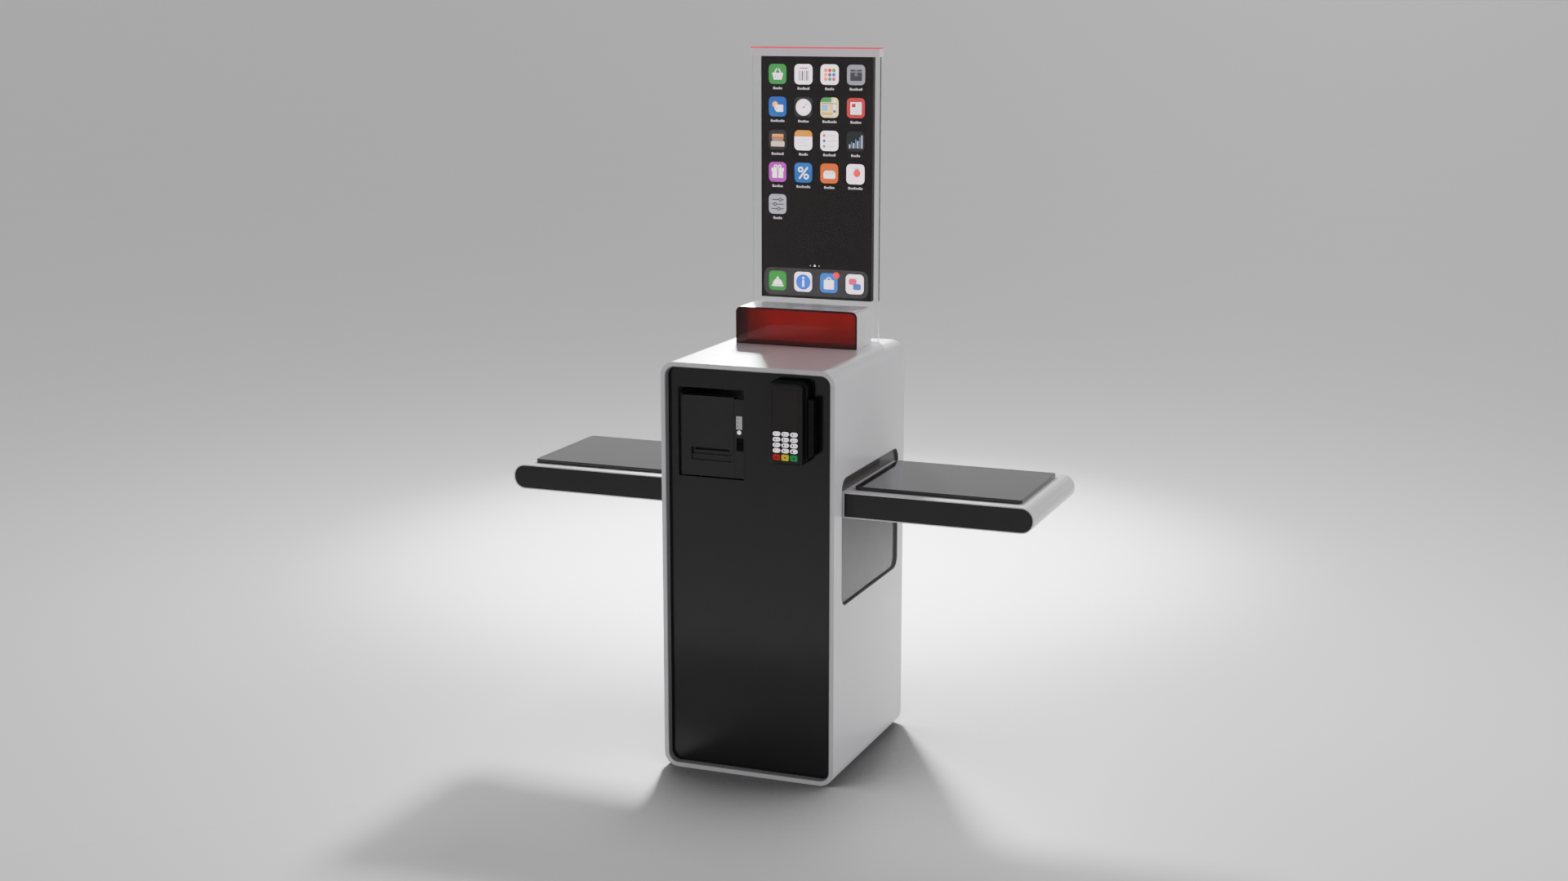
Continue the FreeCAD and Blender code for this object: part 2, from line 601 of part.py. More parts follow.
def make_scanner():
    window = new_body("scanner_window")
    scanner_block(window, SCANNER_FRONT, "scanner_wall", "0", UPRIGHT)
    keep("scanner_window", window)

    housing = new_body("scanner_housing")
    start = f"{SCANNER_FRONT} + scanner_wall"
    scanner_block(housing, start, "scanner_depth - scanner_wall", "0", UPRIGHT)
    scanner_block(housing, start, "scanner_depth - 2 * scanner_wall", "scanner_wall",
                  UPRIGHT_INNER, cut=True)
    keep("scanner_housing", housing)

    liner = new_body("scanner_liner")
    scanner_block(liner, start, "light_setback - scanner_wall", "scanner_wall", UPRIGHT_INNER)
    cut_block(liner, "XZ", ("0", f"{start} + (light_setback - scanner_wall) / 2",
                            "tower_height + (scanner_height - scanner_wall) / 2"),
              ("scanner_width - 2 * scanner_wall - 2 * scanner_liner_wall",
               "light_setback - scanner_wall",
               "scanner_height - scanner_wall - 2 * scanner_liner_wall"),
              (None, None, "scanner_radius - scanner_wall - scanner_liner_wall",
               "scanner_radius - scanner_wall - scanner_liner_wall"))
    keep("scanner_liner", liner)

    light = new_body("scanner_light")
    scanner_block(light, f"{SCANNER_FRONT} + light_setback", "light_thickness", "scanner_wall",
                  UPRIGHT_INNER)
    keep("scanner_light", light)

    engine_z = "tower_height + scanner_height / 2"
    engine_y = f"{LIGHT_BACK} + lens_length + engine_depth / 2 - 0.4"
    engine = block("scan_engine", "XY", ("0", engine_y, engine_z),
                   ("engine_width", "engine_depth", "engine_height"), "2")
    add_disc(engine, "XZ", ("0", f"{LIGHT_BACK} + lens_length / 2", engine_z), "lens_radius",
             "lens_length")
    keep("scan_engine", engine)


# ---- display blade ------------------------------------------------------------------------

BLADE_BACK = "(blade_front + blade_thickness)"
DISPLAY_BACK = f"({BLADE_BACK} + display_thickness)"


def make_display():
    glass = block("display_glass", "XY", ("0", BLADE_CENTRE, "(blade_low + blade_high) / 2"),
                  ("blade_width", "blade_thickness", "blade_high - blade_low"),
                  "blade_corner")
    keep("display_glass", glass)

    panel = block("display_panel", "XZ",
                  ("0", f"{BLADE_BACK} + display_thickness / 2",
                   "(display_low + display_high) / 2"),
                  ("display_width", "display_thickness", "display_high - display_low"),
                  "display_corner")
    keep("display_panel", panel)

    cover = block("display_rear_cover", "XZ",
                  ("0", f"{DISPLAY_BACK} + cover_thickness / 2",
                   "(display_low + display_high) / 2"),
                  ("display_width - 2 * cover_side_inset", "cover_thickness",
                   "display_high - display_low - 2 * cover_end_inset"), "cover_corner")
    fillet_edges(cover, "cover_edge", edges_at(1, value(f"{DISPLAY_BACK} + cover_thickness")))
    vent_depth = "3"
    for row in range(9):
        vent_z = f"display_high - 90 - {row * 9}"
        cut_block(cover, "XZ", ("0", f"{DISPLAY_BACK} + cover_thickness - {vent_depth} / 2",
                                vent_z), ("150", vent_depth, "3.4"), "1.6")
    keep("display_rear_cover", cover)

    duct_centre = ("0", "blade_front + display_cable_setback", "(tower_height + display_low) / 2")
    duct_height = "display_low - tower_height"
    duct = block("cable_duct", "XY", duct_centre, ("duct_width", "duct_depth", duct_height),
                 "duct_corner")
    cut_block(duct, "XY", duct_centre,
              ("duct_width - 2 * duct_wall", "duct_depth - 2 * duct_wall", duct_height), "1.2")
    keep("cable_duct", duct)


def make_blade_mounts():
    clamp_high = "tower_height - tower_wall"
    clamp_z = f"{clamp_high} - clamp_height / 2"
    clamp_width = "blade_width - 2 * clamp_inset"
    clamp = block("glass_clamp", "XY", ("0", BLADE_CENTRE, clamp_z),
                  (clamp_width, "clamp_depth", "clamp_height"), "clamp_corner")
    cut_block(clamp, "XY", ("0", BLADE_CENTRE, f"(({clamp_high}) + blade_low) / 2"),
              (clamp_width, "blade_thickness", f"{clamp_high} - blade_low"))
    cut_block(clamp, "XY", ("0", f"{BLADE_CENTRE} + clamp_depth / 2", clamp_z),
              ("clamp_notch_width", "clamp_notch_depth", "clamp_height"))
    keep("glass_clamp", clamp)

    cap_z = "display_high + cap_height / 2"
    cap = block("top_cap", "XY", ("0", BLADE_CENTRE, cap_z),
                ("cap_width", "cap_depth", "cap_height"), "cap_corner")
    cut_block(cap, "XY", ("0", BLADE_CENTRE, "(display_high + blade_high) / 2"),
              ("blade_width", "blade_thickness", "blade_high - display_high"))
    keep("top_cap", cap)

    light = block("status_light", "XY",
                  ("0", BLADE_CENTRE, "display_high + cap_height + light_height / 2"),
                  ("cap_width - 2 * light_inset", "cap_depth - 2 * light_inset",
                   "light_height"), "cap_corner")
    light_top = value("display_high + cap_height + light_height")
    fillet_edges(light, "light_edge", edges_at(2, light_top))
    keep("status_light", light)


# ---- receipt printer ----------------------------------------------------------------------

PRINTER_FRONT = f"({PANEL_FRONT} + printer_recess)"
PRINTER_EDGE = "(printer_right - printer_side_gap)"
COVER_LEFT = "(printer_left + cover_gap_left)"
COVER_RIGHT = "(printer_seam - 0.4)"
COVER_LOW = "(printer_low + 2.4)"
COVER_BACK = f"({PRINTER_FRONT} + cover_depth)"
COVER_X = f"(({COVER_LEFT} + {COVER_RIGHT}) / 2)"
ROLL_X = "(printer_left + roll_offset)"
ROLL_Y = f"({COVER_BACK} + roll_radius + 8)"
ROLL_Z = "(printer_face_high - roll_radius - 22)"
PLATEN_Z = "(printer_low + 62)"
PLATEN_Y = f"({COVER_BACK} + platen_radius + 1)"
HINGE_Y = f"({COVER_BACK} + 3)"
HINGE_Z = "(printer_face_high - 9)"
SLOT_TOP = "(printer_low + 67.3)"
SLOT_STEP = "(printer_low + 52)"
SLOT_LOW = "(printer_low + 38.5)"
STRIP_X = f"(({PRINTER_EDGE} + printer_seam) / 2)"
RELEASE_X = f"({STRIP_X} + release_shift)"
RELEASE_Z = "(printer_low + release_height)"


def make_printer_body():
    """The printer's case: a box with the paper bucket, and the control strip on the right."""
    body = new_body("printer_body")
    back = f"({PRINTER_FRONT} + printer_depth)"
    case_front = f"({COVER_BACK} + 0.5)"
    width = f"({PRINTER_EDGE} - {COVER_LEFT})"
    height = f"(printer_face_high - {COVER_LOW})"
    middle = (f"({PRINTER_EDGE} + {COVER_LEFT}) / 2", f"({case_front} + {back}) / 2",
              f"(printer_face_high + {COVER_LOW}) / 2")
    add_block(body, "XZ", middle, (width, f"{back} - {case_front}", height))
    strip_drop = 3
    strip_size = (f"({PRINTER_EDGE} - printer_seam)", f"{case_front} - {PRINTER_FRONT}",
                  f"{height} - {strip_drop}")
    strip_y = f"({case_front} + {PRINTER_FRONT}) / 2"
    add_block(body, "XZ", (STRIP_X, strip_y, f"({middle[2]}) - {strip_drop / 2}"), strip_size)
    cut_block(body, "XZ", (ROLL_X, f"({case_front} + {ROLL_Y}) / 2",
                           f"({ROLL_Z} + {SLOT_LOW} - 12) / 2 + 9"),
              ("roll_width + 5", f"{ROLL_Y} - {case_front}",
               f"{ROLL_Z} - {SLOT_LOW} + 12 + 18"))
    cut_disc(body, "YZ", (ROLL_X, ROLL_Y, ROLL_Z), "roll_radius + roll_clearance",
             "roll_width + 5")
    cut_block(body, "XZ", (ROLL_X, f"{case_front} + 9.5", f"{PLATEN_Z} - 1"),
              ("roll_width + 30", "19", "20"))
    hinge_cut = f"({HINGE_Y} + 9.5 - {case_front})"
    cut_block(body, "XZ", (COVER_X, f"{case_front} + {hinge_cut} / 2", f"{HINGE_Z} + 6"),
              (f"({COVER_RIGHT} - {COVER_LEFT} + 2)", hinge_cut, "24"))
    for end in (-1, 1):
        ear_x = f"{COVER_X} + {end} * (({COVER_RIGHT} - {COVER_LEFT}) / 2 - 6)"
        add_block(body, "YZ", (ear_x, f"({HINGE_Y} + 10.5 + {case_front}) / 2",
                               f"{HINGE_Z} - 0.9"),
                  ("5", f"{HINGE_Y} + 10.5 - {case_front}", "8.2"))
        cut_disc(body, "YZ", (ear_x, HINGE_Y, HINGE_Z), "peg_radius + 0.05", "5")
    cut_block(body, "XZ", (STRIP_X, f"{PRINTER_FRONT} + 0.6", "printer_low + label_height"),
              ("label_width", "1.2", "label_length"))
    cut_disc(body, "XZ", (STRIP_X, f"{PRINTER_FRONT} + 4", "printer_low + button_height"),
             "button_radius + seam", "8")
    cut_block(body, "XZ", (RELEASE_X, f"{PRINTER_FRONT} + 4", RELEASE_Z),
              ("release_width + 2 * seam", "8", "release_length + 2 * seam"))
    return keep("printer_body", body)


def make_printer_cover():
    """Cover that swings out and up on two pegs at its top, with the receipt slot low down."""
    body = new_body("printer_cover")
    width = f"({COVER_RIGHT} - {COVER_LEFT})"
    height = f"(printer_face_high - {COVER_LOW})"
    centre = (COVER_X, f"({PRINTER_FRONT} + {COVER_BACK}) / 2",
              f"(printer_face_high + {COVER_LOW}) / 2")
    add_block(body, "XZ", centre, (width, "cover_depth", height), (None, None, None, "9"))
    cut_block(body, "XZ", (centre[0], f"{COVER_BACK} - (cover_depth - cover_wall) / 2",
                           centre[2]),
              (f"{width} - 2 * cover_wall", "cover_depth - cover_wall",
               f"{height} - 2 * cover_wall"), (None, None, None, "6"))
    pocket_height = f"({SLOT_TOP} - {SLOT_LOW} + 4)"
    add_block(body, "XZ", (ROLL_X, f"{PRINTER_FRONT} + 5.5", f"({SLOT_TOP} + {SLOT_LOW}) / 2"),
              ("slot_width + 4", "7", pocket_height))
    cut_block(body, "XZ", (ROLL_X, f"{PRINTER_FRONT} + 3", f"({SLOT_TOP} + {SLOT_STEP}) / 2"),
              ("slot_width", "6", f"{SLOT_TOP} - {SLOT_STEP}"))
    cut_block(body, "XZ", (ROLL_X, f"{PRINTER_FRONT} + 1.5", f"({SLOT_STEP} + {SLOT_LOW}) / 2"),
              ("slot_width", "3", f"{SLOT_STEP} - {SLOT_LOW}"))
    cut_block(body, "XZ", (ROLL_X, f"{PRINTER_FRONT} + 8", f"{SLOT_TOP} - 4"),
              ("paper_slit_width", "8", "paper_slit_height"))
    for end in (-1, 1):
        lug_x = f"{COVER_X} + {end} * ({width} / 2 - 11)"
        add_block(body, "YZ", (lug_x, f"({HINGE_Y} + 3 + {PRINTER_FRONT} + 2) / 2", HINGE_Z),
                  ("4", f"{HINGE_Y} + 3 - {PRINTER_FRONT} - 2", "6"))
        add_disc(body, "YZ", (f"{COVER_X} + {end} * ({width} / 2 - 8.5)", HINGE_Y, HINGE_Z),
                 "peg_radius", "9")
        ear_x = f"{ROLL_X} + {end} * (roll_width / 2 + 8)"
        add_block(body, "YZ", (ear_x, f"({PLATEN_Y} + 5 + {PRINTER_FRONT} + 7) / 2", PLATEN_Z),
                  ("3", f"{PLATEN_Y} + 5 - {PRINTER_FRONT} - 7", "10"))
        cut_disc(body, "YZ", (ear_x, PLATEN_Y, PLATEN_Z), "axle_radius + 0.05", "3")
    return keep("printer_cover", body)


def make_printer_internals():
    platen = disc("platen_roller", "YZ", (ROLL_X, PLATEN_Y, PLATEN_Z), "platen_radius",
                  "roll_width")
    add_disc(platen, "YZ", (ROLL_X, PLATEN_Y, PLATEN_Z), "axle_radius",
             "roll_width + 2 * axle_overhang")
    keep("platen_roller", platen)

    roll = disc("paper_roll", "YZ", (ROLL_X, ROLL_Y, ROLL_Z), "roll_radius", "roll_width")
    cut_disc(roll, "YZ", (ROLL_X, ROLL_Y, ROLL_Z), "roll_core", "roll_width")
    keep("paper_roll", roll)

    button = disc("feed_button", "XZ",
                  (STRIP_X, f"{PRINTER_FRONT} + 2.2", "printer_low + button_height"),
                  "button_radius", "6")
    keep("feed_button", button)

    release = block("cover_release", "XZ",
                    (RELEASE_X, f"{PRINTER_FRONT} + 2.8", RELEASE_Z),
                    ("release_width", "5", "release_length"), "1")
    for row in (-1, 0, 1):
        cut_block(release, "XZ", (RELEASE_X, f"{PRINTER_FRONT} + 0.6",
                                  f"{RELEASE_Z} + {row * 6}"), ("11", "0.6", "1.6"))
    keep("cover_release", release)


# ---- payment terminal ---------------------------------------------------------------------

TERMINAL_MIDDLE = "(terminal_low + terminal_high) / 2"
TERMINAL_HEIGHT = "(terminal_high - terminal_low)"
TERMINAL_BACK = f"({PANEL_FRONT} - 6)"
REAR_WIDTH = "(terminal_width + 14)"
TRACK_LEFT = f"(terminal_centre + {REAR_WIDTH} / 2 + track_groove)"


def make_terminal_shells():
    """Rear half with the card track on its right, and the front half that holds the keys."""
    rear = new_body("terminal_rear_shell")
    depth = f"({TERMINAL_BACK} - terminal_split)"
    y = f"({TERMINAL_BACK} + terminal_split) / 2"
    tall = f"({TERMINAL_HEIGHT} + 6)"
    add_block(rear, "XZ", ("terminal_centre", y, f"{TERMINAL_MIDDLE} + 2"),
              (REAR_WIDTH, depth, tall), "terminal_radius + 7")
    fillet_edges(rear, "6", edges_at(1, value("terminal_split")))
    track_z = "terminal_low + 81.5"
    add_block(rear, "XZ", (f"{TRACK_LEFT} + track_width / 2", f"({y}) - 1.5", track_z),
              ("track_width", f"{depth} + 3", "track_height"), (None, "12", "4", None))
    add_block(rear, "XZ", (f"{TRACK_LEFT} - track_groove / 2", f"{TERMINAL_BACK} - 4", track_z),
              ("track_groove + 2", "8", "track_height - 16"))
    cut_block(rear, "XZ", ("terminal_centre", f"terminal_split + ({depth} - 3) / 2",
                           TERMINAL_MIDDLE),
              ("terminal_width - 2 * terminal_wall", f"{depth} - 3",
               f"{TERMINAL_HEIGHT} - 2 * terminal_wall"), "terminal_radius - terminal_wall")
    cut_disc(rear, "XZ", ("terminal_centre", f"{TERMINAL_BACK} - 1.5", TERMINAL_MIDDLE),
             "cable_hole", "3")
    keep("terminal_rear_shell", rear)

    front = new_body("terminal_front_shell")
    depth = "(terminal_split - terminal_face)"
    y = "(terminal_split + terminal_face) / 2"
    add_block(front, "XZ", ("terminal_centre", y, TERMINAL_MIDDLE),
              ("terminal_width", depth, TERMINAL_HEIGHT), "terminal_radius")
    fillet_edges(front, "5", edges_at(1, value("terminal_face")))
    cut_block(front, "XZ", ("terminal_centre", f"terminal_face + 3 + ({depth} - 3) / 2",
                            TERMINAL_MIDDLE),
              ("terminal_width - 2 * terminal_wall", f"{depth} - 3",
               f"{TERMINAL_HEIGHT} - 2 * terminal_wall"), "terminal_radius - terminal_wall")
    screen_z = "(screen_low + screen_high) / 2"
    cut_block(front, "XZ", ("terminal_centre", "terminal_face + 0.75", screen_z),
              ("screen_width", "1.5", "screen_high - screen_low"), "2")
    cut_block(front, "XZ", ("terminal_centre", "terminal_face + 2.2", screen_z),
              ("screen_width - 8", "1.6", "screen_high - screen_low - 8"))
    for column, row_z, height in key_places():
        cut_block(front, "XZ", (key_x(column), "terminal_face + 1.5", row_z),
                  ("key_width + 2 * key_gap", "3", f"{height} + 2 * key_gap"),
                  key_radius(height, "key_gap"))
    cut_block(front, "XY", ("terminal_centre", "terminal_split - 5.5", "terminal_low + 1.2"),
              ("56", "1.4", "2.4"))
    keep("terminal_front_shell", front)

    screen = block("terminal_screen", "XZ", ("terminal_centre", "terminal_face + 0.75", screen_z),
                   ("screen_width - 0.2", "1.5", "screen_high - screen_low - 0.2"), "1.9")
    keep("terminal_screen", screen)

    bracket = block("terminal_bracket", "XZ",
                    ("terminal_centre", f"({PANEL_FRONT} + {TERMINAL_BACK}) / 2",
                     TERMINAL_MIDDLE),
                    ("terminal_width - 12", f"{PANEL_FRONT} - {TERMINAL_BACK}",
                     f"{TERMINAL_HEIGHT} - 24"), "6")
    cut_disc(bracket, "XZ", ("terminal_centre", f"({PANEL_FRONT} + {TERMINAL_BACK}) / 2",
                             TERMINAL_MIDDLE), "cable_hole", f"{PANEL_FRONT} - {TERMINAL_BACK}")
    keep("terminal_bracket", bracket)


KEY_NAMES = (("key_1", "key_2", "key_3"), ("key_4", "key_5", "key_6"),
             ("key_7", "key_8", "key_9"), ("key_star", "key_0", "key_hash"),
             ("key_cancel", "key_clear", "key_enter"))


def key_x(column):
    return f"terminal_centre + {column - 1} * key_pitch_x"


def key_row(row):
    """A row's height above the floor and the height of its keys."""
    if row < 4:
        return f"top_key_row - {row} * key_pitch_z", "key_height"
    return "function_key_row", "function_key_height"


def key_places():
    return [(column, *key_row(row)) for row in range(5) for column in range(3)]


def key_radius(height, extra="0"):
    factor = "0.46" if height == "key_height" else "0.2"
    return f"({height}) * {factor} + {extra}"


def make_keys():
    """Keys that stand proud of the face, each with a foot wider than its hole."""
    for row, names in enumerate(KEY_NAMES):
        z, height = key_row(row)
        for column, name in enumerate(names):
            key = block(name, "XZ",
                        (key_x(column), "terminal_face + (key_stem - key_proud) / 2", z),
                        ("key_width", "key_stem + key_proud", height), key_radius(height))
            fillet_edges(key, "key_edge", edges_at(1, value("terminal_face - key_proud")))
            add_block(key, "XZ", (key_x(column), "terminal_face + key_stem + 0.5", z),
                      ("key_width + 1.2", "1", f"{height} + 1"), key_radius(height, "0.4"))
            keep(name, key)


# ---- rear service side --------------------------------------------------------------------

DOOR_HALF = f"(({INNER_WIDTH}) / 2 - trim_wall - door_gap)"
DOOR_FACE = "(tower_depth / 2 - panel_recess)"
DOOR_HIGH = "(tower_height - tower_wall - trim_wall - door_gap)"
HINGE_X = f"(-({DOOR_HALF}) - 0.4 + hinge_radius)"
PIN_Y = f"({DOOR_FACE} + hinge_radius)"
LOCK_X = f"({DOOR_HALF} - lock_setback)"
HINGE_LEVELS = ("door_low + 90", "(door_low + tower_height) / 2", "tower_height - 110")


def make_rear_door():
    """Steel service door with louvre slots, a stiffening flange and its hinge knuckles."""
    door = new_body("rear_door")
    z = f"(door_low + {DOOR_HIGH}) / 2"
    left = f"({HINGE_X} + hinge_radius + 0.6)"
    x = f"({DOOR_HALF} + {left}) / 2"
    y = f"{DOOR_FACE} - door_thickness / 2"
    add_block(door, "XZ", (x, y, z),
              (f"{DOOR_HALF} - {left}", "door_thickness", f"{DOOR_HIGH} - door_low"),
              ("6", "6", "18", "18"))
    flange_x = f"{DOOR_HALF} - 16"
    add_block(door, "XY", (flange_x, f"{DOOR_FACE} - door_thickness - 3", z),
              ("2", "6", f"{DOOR_HIGH} - door_low - 90"))
    for row in range(10):
        cut_block(door, "XZ", (x, y, f"door_low + 60 + {row * 13}"),
                  ("220", "door_thickness", "3.6"), "1.7")
    cut_disc(door, "XZ", (LOCK_X, y, "lock_height"), "lock_radius + 0.05", "door_thickness")
    for level in HINGE_LEVELS:
        add_disc(door, "XY", (HINGE_X, PIN_Y, level), "hinge_radius", "knuckle_length")
        cut_disc(door, "XY", (HINGE_X, PIN_Y, level), "pin_radius + 0.05", "knuckle_length")
        leaf_x = f"({HINGE_X} + {left} + 12) / 2"
        add_block(door, "XY", (f"({leaf_x}) + 1", f"{DOOR_FACE} + leaf_thickness / 2", level),
                  (f"({left} + 12 - {HINGE_X}) - 2", "leaf_thickness", "knuckle_length"))
    keep("rear_door", door)

    leaves = []
    for index, level in enumerate(HINGE_LEVELS):
        leaf = new_body(f"hinge_leaf_{index}")
        for end in (-1, 1):
            knuckle_z = f"{level} + {end} * 22.3"
            add_disc(leaf, "XY", (HINGE_X, PIN_Y, knuckle_z), "hinge_radius", "20")
            wall_x = f"(-(({INNER_WIDTH}) / 2 - trim_wall))"
            add_block(leaf, "XY", (f"{wall_x} + 0.7", f"{PIN_Y} - 1", knuckle_z),
                      ("1.4", "2 * hinge_radius + 6", "20"))
            add_block(leaf, "XY", (f"({wall_x} + {HINGE_X}) / 2", PIN_Y, knuckle_z),
                      (f"({HINGE_X} - {wall_x})", "1.6", "20"))
        add_disc(leaf, "XY", (HINGE_X, PIN_Y, level), "pin_radius", "64")
        leaves.append(leaf)
    group("door_hinges", leaves)

    lock = disc("door_lock", "XZ", (LOCK_X, f"{DOOR_FACE} - 4", "lock_height"),
                "lock_radius", "14")
    add_disc(lock, "XZ", (LOCK_X, f"{DOOR_FACE} + 2.3", "lock_height"), "lock_head", "3")
    cut_block(lock, "XZ", (LOCK_X, f"{DOOR_FACE} + 3", "lock_height"), ("2", "1.8", "9"))
    add_block(lock, "XZ", (LOCK_X, f"{DOOR_FACE} - 12.5", "lock_height - 14"),
              ("16", "3", "44"), "5")
    keep("door_lock", lock)


def make_connection_plate():
    """Fixed plate below the door, with the cut-outs for the mains inlet and the network jack."""
    z = "(tower_wall + trim_wall + door_low - door_gap) / 2"
    y = f"{DOOR_FACE} - 1.5"
    plate = block("connection_plate", "XZ", ("0", y, z),
                  (f"{INNER_WIDTH} - 2 * trim_wall", "3",
                   "door_low - door_gap - tower_wall - trim_wall"), ("22", "22", None, None))
    cut_block(plate, "XZ", ("inlet_x", y, z), ("inlet_width", "3", "inlet_height"), "2")
    cut_block(plate, "XZ", ("jack_x", y, z), ("jack_width", "3", "jack_height"), "0.8")
    keep("connection_plate", plate)

    inlet = block("power_inlet", "XZ", ("inlet_x", f"{DOOR_FACE} - 12", z),
                  ("inlet_width - 0.2", "24", "inlet_height - 0.2"), "2")
    plug_width, plug_height = "inlet_width - 4", "inlet_height - 4"
    cut_block(inlet, "XZ", ("inlet_x", f"{DOOR_FACE} - 8", z), (plug_width, "16", plug_height),
              "3")
    add_block(inlet, "XZ", ("inlet_x", f"{DOOR_FACE} + 1", z), ("48", "2", "24"), "4")
    cut_block(inlet, "XZ", ("inlet_x", f"{DOOR_FACE} + 1", z), (plug_width, "2", plug_height),
              "3")
    for column in (-1, 0, 1):
        add_block(inlet, "XZ", (f"inlet_x + {column * 7}", f"{DOOR_FACE} - 10.5",
                                f"{z} + {2 if column == 0 else -2}"), ("2", "11", "4"))
    jack = block("network_jack", "XZ", ("jack_x", f"{DOOR_FACE} - 8", z),
                 ("jack_width - 0.2", "17", "jack_height - 0.2"), "0.8")
    cut_block(jack, "XZ", ("jack_x", f"{DOOR_FACE} - 5", z), ("12", "11", "8.6"))
    group("connector_sockets", [inlet, jack])


def make_electronics():
    computer_low = "beam_low - 20 - 210"
    computer = block("mini_pc", "XY", ("-60", "120", f"{computer_low} + 22"), ("170", "120", "44"),
                     "6")
    for row in range(11):
        cut_block(computer, "XY", (f"{-130 + row * 14}", "120", f"{computer_low} + 42"),
                  ("5", "110", "6"))
    keep("mini_pc", computer)
    supply = block("power_supply", "XY", ("80", "80", f"{FRAME_LOW} + 24.5"), ("110", "200", "47"),
                   "2")
    for row in range(12):
        cut_block(supply, "XY", ("80", f"{-2 + row * 15}", f"{FRAME_LOW} + 47"), ("80", "4", "3"))
    keep("power_supply", supply)
    tray = new_body("computer_tray")
    inside = FRAME_HALF_X - FRAME_TUBE / 2
    add_block(tray, "XY", ("0", "110", f"{computer_low} - 1.5"), (str(2 * inside), "170", "3"))
    for side in (-1, 1):
        add_block(tray, "XY", (str(side * (inside - 1)), "110", f"{computer_low} + 8"),
                  ("2", "192", "22"))
    printer_tray = new_body("printer_tray")
    add_block(printer_tray, "XY", (f"({-inside} + printer_right) / 2", "-154",
                                   f"{COVER_LOW} - 1.5"),
              (f"{inside} + printer_right", "108", "3"))
    add_block(printer_tray, "XY", (str(1 - inside), "-154", f"{COVER_LOW} - 18"),
              ("2", "108", "30"))
    group("equipment_trays", [tray, printer_tray])


def make_fasteners():
    """Heads of the screws that hold the shelf beams to the frame and close the glass clamp."""
    screws = []
    for x in (-FRAME_HALF_X, FRAME_HALF_X):
        for side in (-1, 1):
            for row in (-1, 1):
                screw = disc(f"beam_screw_{len(screws)}", "XY",
                             (str(x), f"{side} * beam_offset + {row * 12}",
                              "beam_low + beam_height + 2"), "5", "4")
                screws.append(screw)
    for side in (-1, 1):
        for end in (-1, 1):
            screw = disc(f"clamp_screw_{len(screws)}", "XZ",
                         (f"{side * 120}", f"{BLADE_CENTRE} - 17 - 2",
                          f"tower_height - tower_wall - 26 + {end * 14}"), "5", "4")
            screws.append(screw)
    return group("fasteners", screws)


make_outer_shell()
make_trim_frames()
make_front_panel()
make_base_plate()
make_inner_frame()
make_windows()
make_shelves()
make_shelf_beams()
make_scanner()
make_display()
make_blade_mounts()
make_printer_body()
make_printer_cover()
make_printer_internals()
make_terminal_shells()
make_keys()
make_rear_door()
make_connection_plate()
make_electronics()
make_fasteners()
doc.recompute()

failed = [item.Label for item in doc.Objects
          if "Invalid" in item.State or "Error" in item.State]
failed += [item.Label for item in sub_parts if item.Shape.isNull() or not item.Shape.isValid()]
if failed:
    raise RuntimeError(f"these objects failed: {failed}")

os.makedirs("parts", exist_ok=True)
for item in sub_parts:
    item.Shape.exportStep(f"parts/{item.Label}.step")
    box = item.Shape.BoundBox
    print(f"{item.Label:22s} solids {len(item.Shape.Solids)} volume {item.Shape.Volume:12.1f} "
          f"x {box.XMin:.1f} {box.XMax:.1f} y {box.YMin:.1f} {box.YMax:.1f} "
          f"z {box.ZMin:.1f} {box.ZMax:.1f}")
print(len(sub_parts), "sub-parts")
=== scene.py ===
import math

import bmesh
import bpy
from mathutils import Matrix, Vector


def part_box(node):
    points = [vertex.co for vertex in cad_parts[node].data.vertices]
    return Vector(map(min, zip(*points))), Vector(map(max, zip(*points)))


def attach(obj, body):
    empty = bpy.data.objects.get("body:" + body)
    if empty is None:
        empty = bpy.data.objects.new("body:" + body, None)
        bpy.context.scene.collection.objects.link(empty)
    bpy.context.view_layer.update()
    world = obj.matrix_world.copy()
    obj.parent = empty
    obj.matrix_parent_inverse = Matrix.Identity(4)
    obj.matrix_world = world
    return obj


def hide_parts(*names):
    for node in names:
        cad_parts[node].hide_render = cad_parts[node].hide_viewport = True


# Looks for a self checkout kiosk: materials, fine detail, studio floor, light and camera.
# The scene is in metres. Sizes given in millimetres are turned into metres by MM.

MM = 0.001

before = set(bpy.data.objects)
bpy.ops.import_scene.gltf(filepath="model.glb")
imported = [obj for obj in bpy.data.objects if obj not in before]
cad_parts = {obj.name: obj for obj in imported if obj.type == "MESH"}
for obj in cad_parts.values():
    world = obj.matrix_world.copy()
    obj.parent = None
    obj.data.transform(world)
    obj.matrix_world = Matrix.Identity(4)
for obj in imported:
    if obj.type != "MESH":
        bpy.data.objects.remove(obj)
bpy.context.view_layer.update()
scene = bpy.context.scene


# ---- material kit -------------------------------------------------------------------------

# A Mix node's colour sockets go by number, because its other sockets have the same names.
MIX_FIRST, MIX_SECOND, MIX_RESULT = 6, 7, 2
# Scale, detail and roughness of the noise that several finishes share.
CLOUD, PATCHES, RIPPLE = (7.0, 4.0), (38.0, 5.0, 0.65), (5.5, 1.0)
SMEAR_ROUGHNESS = 0.02


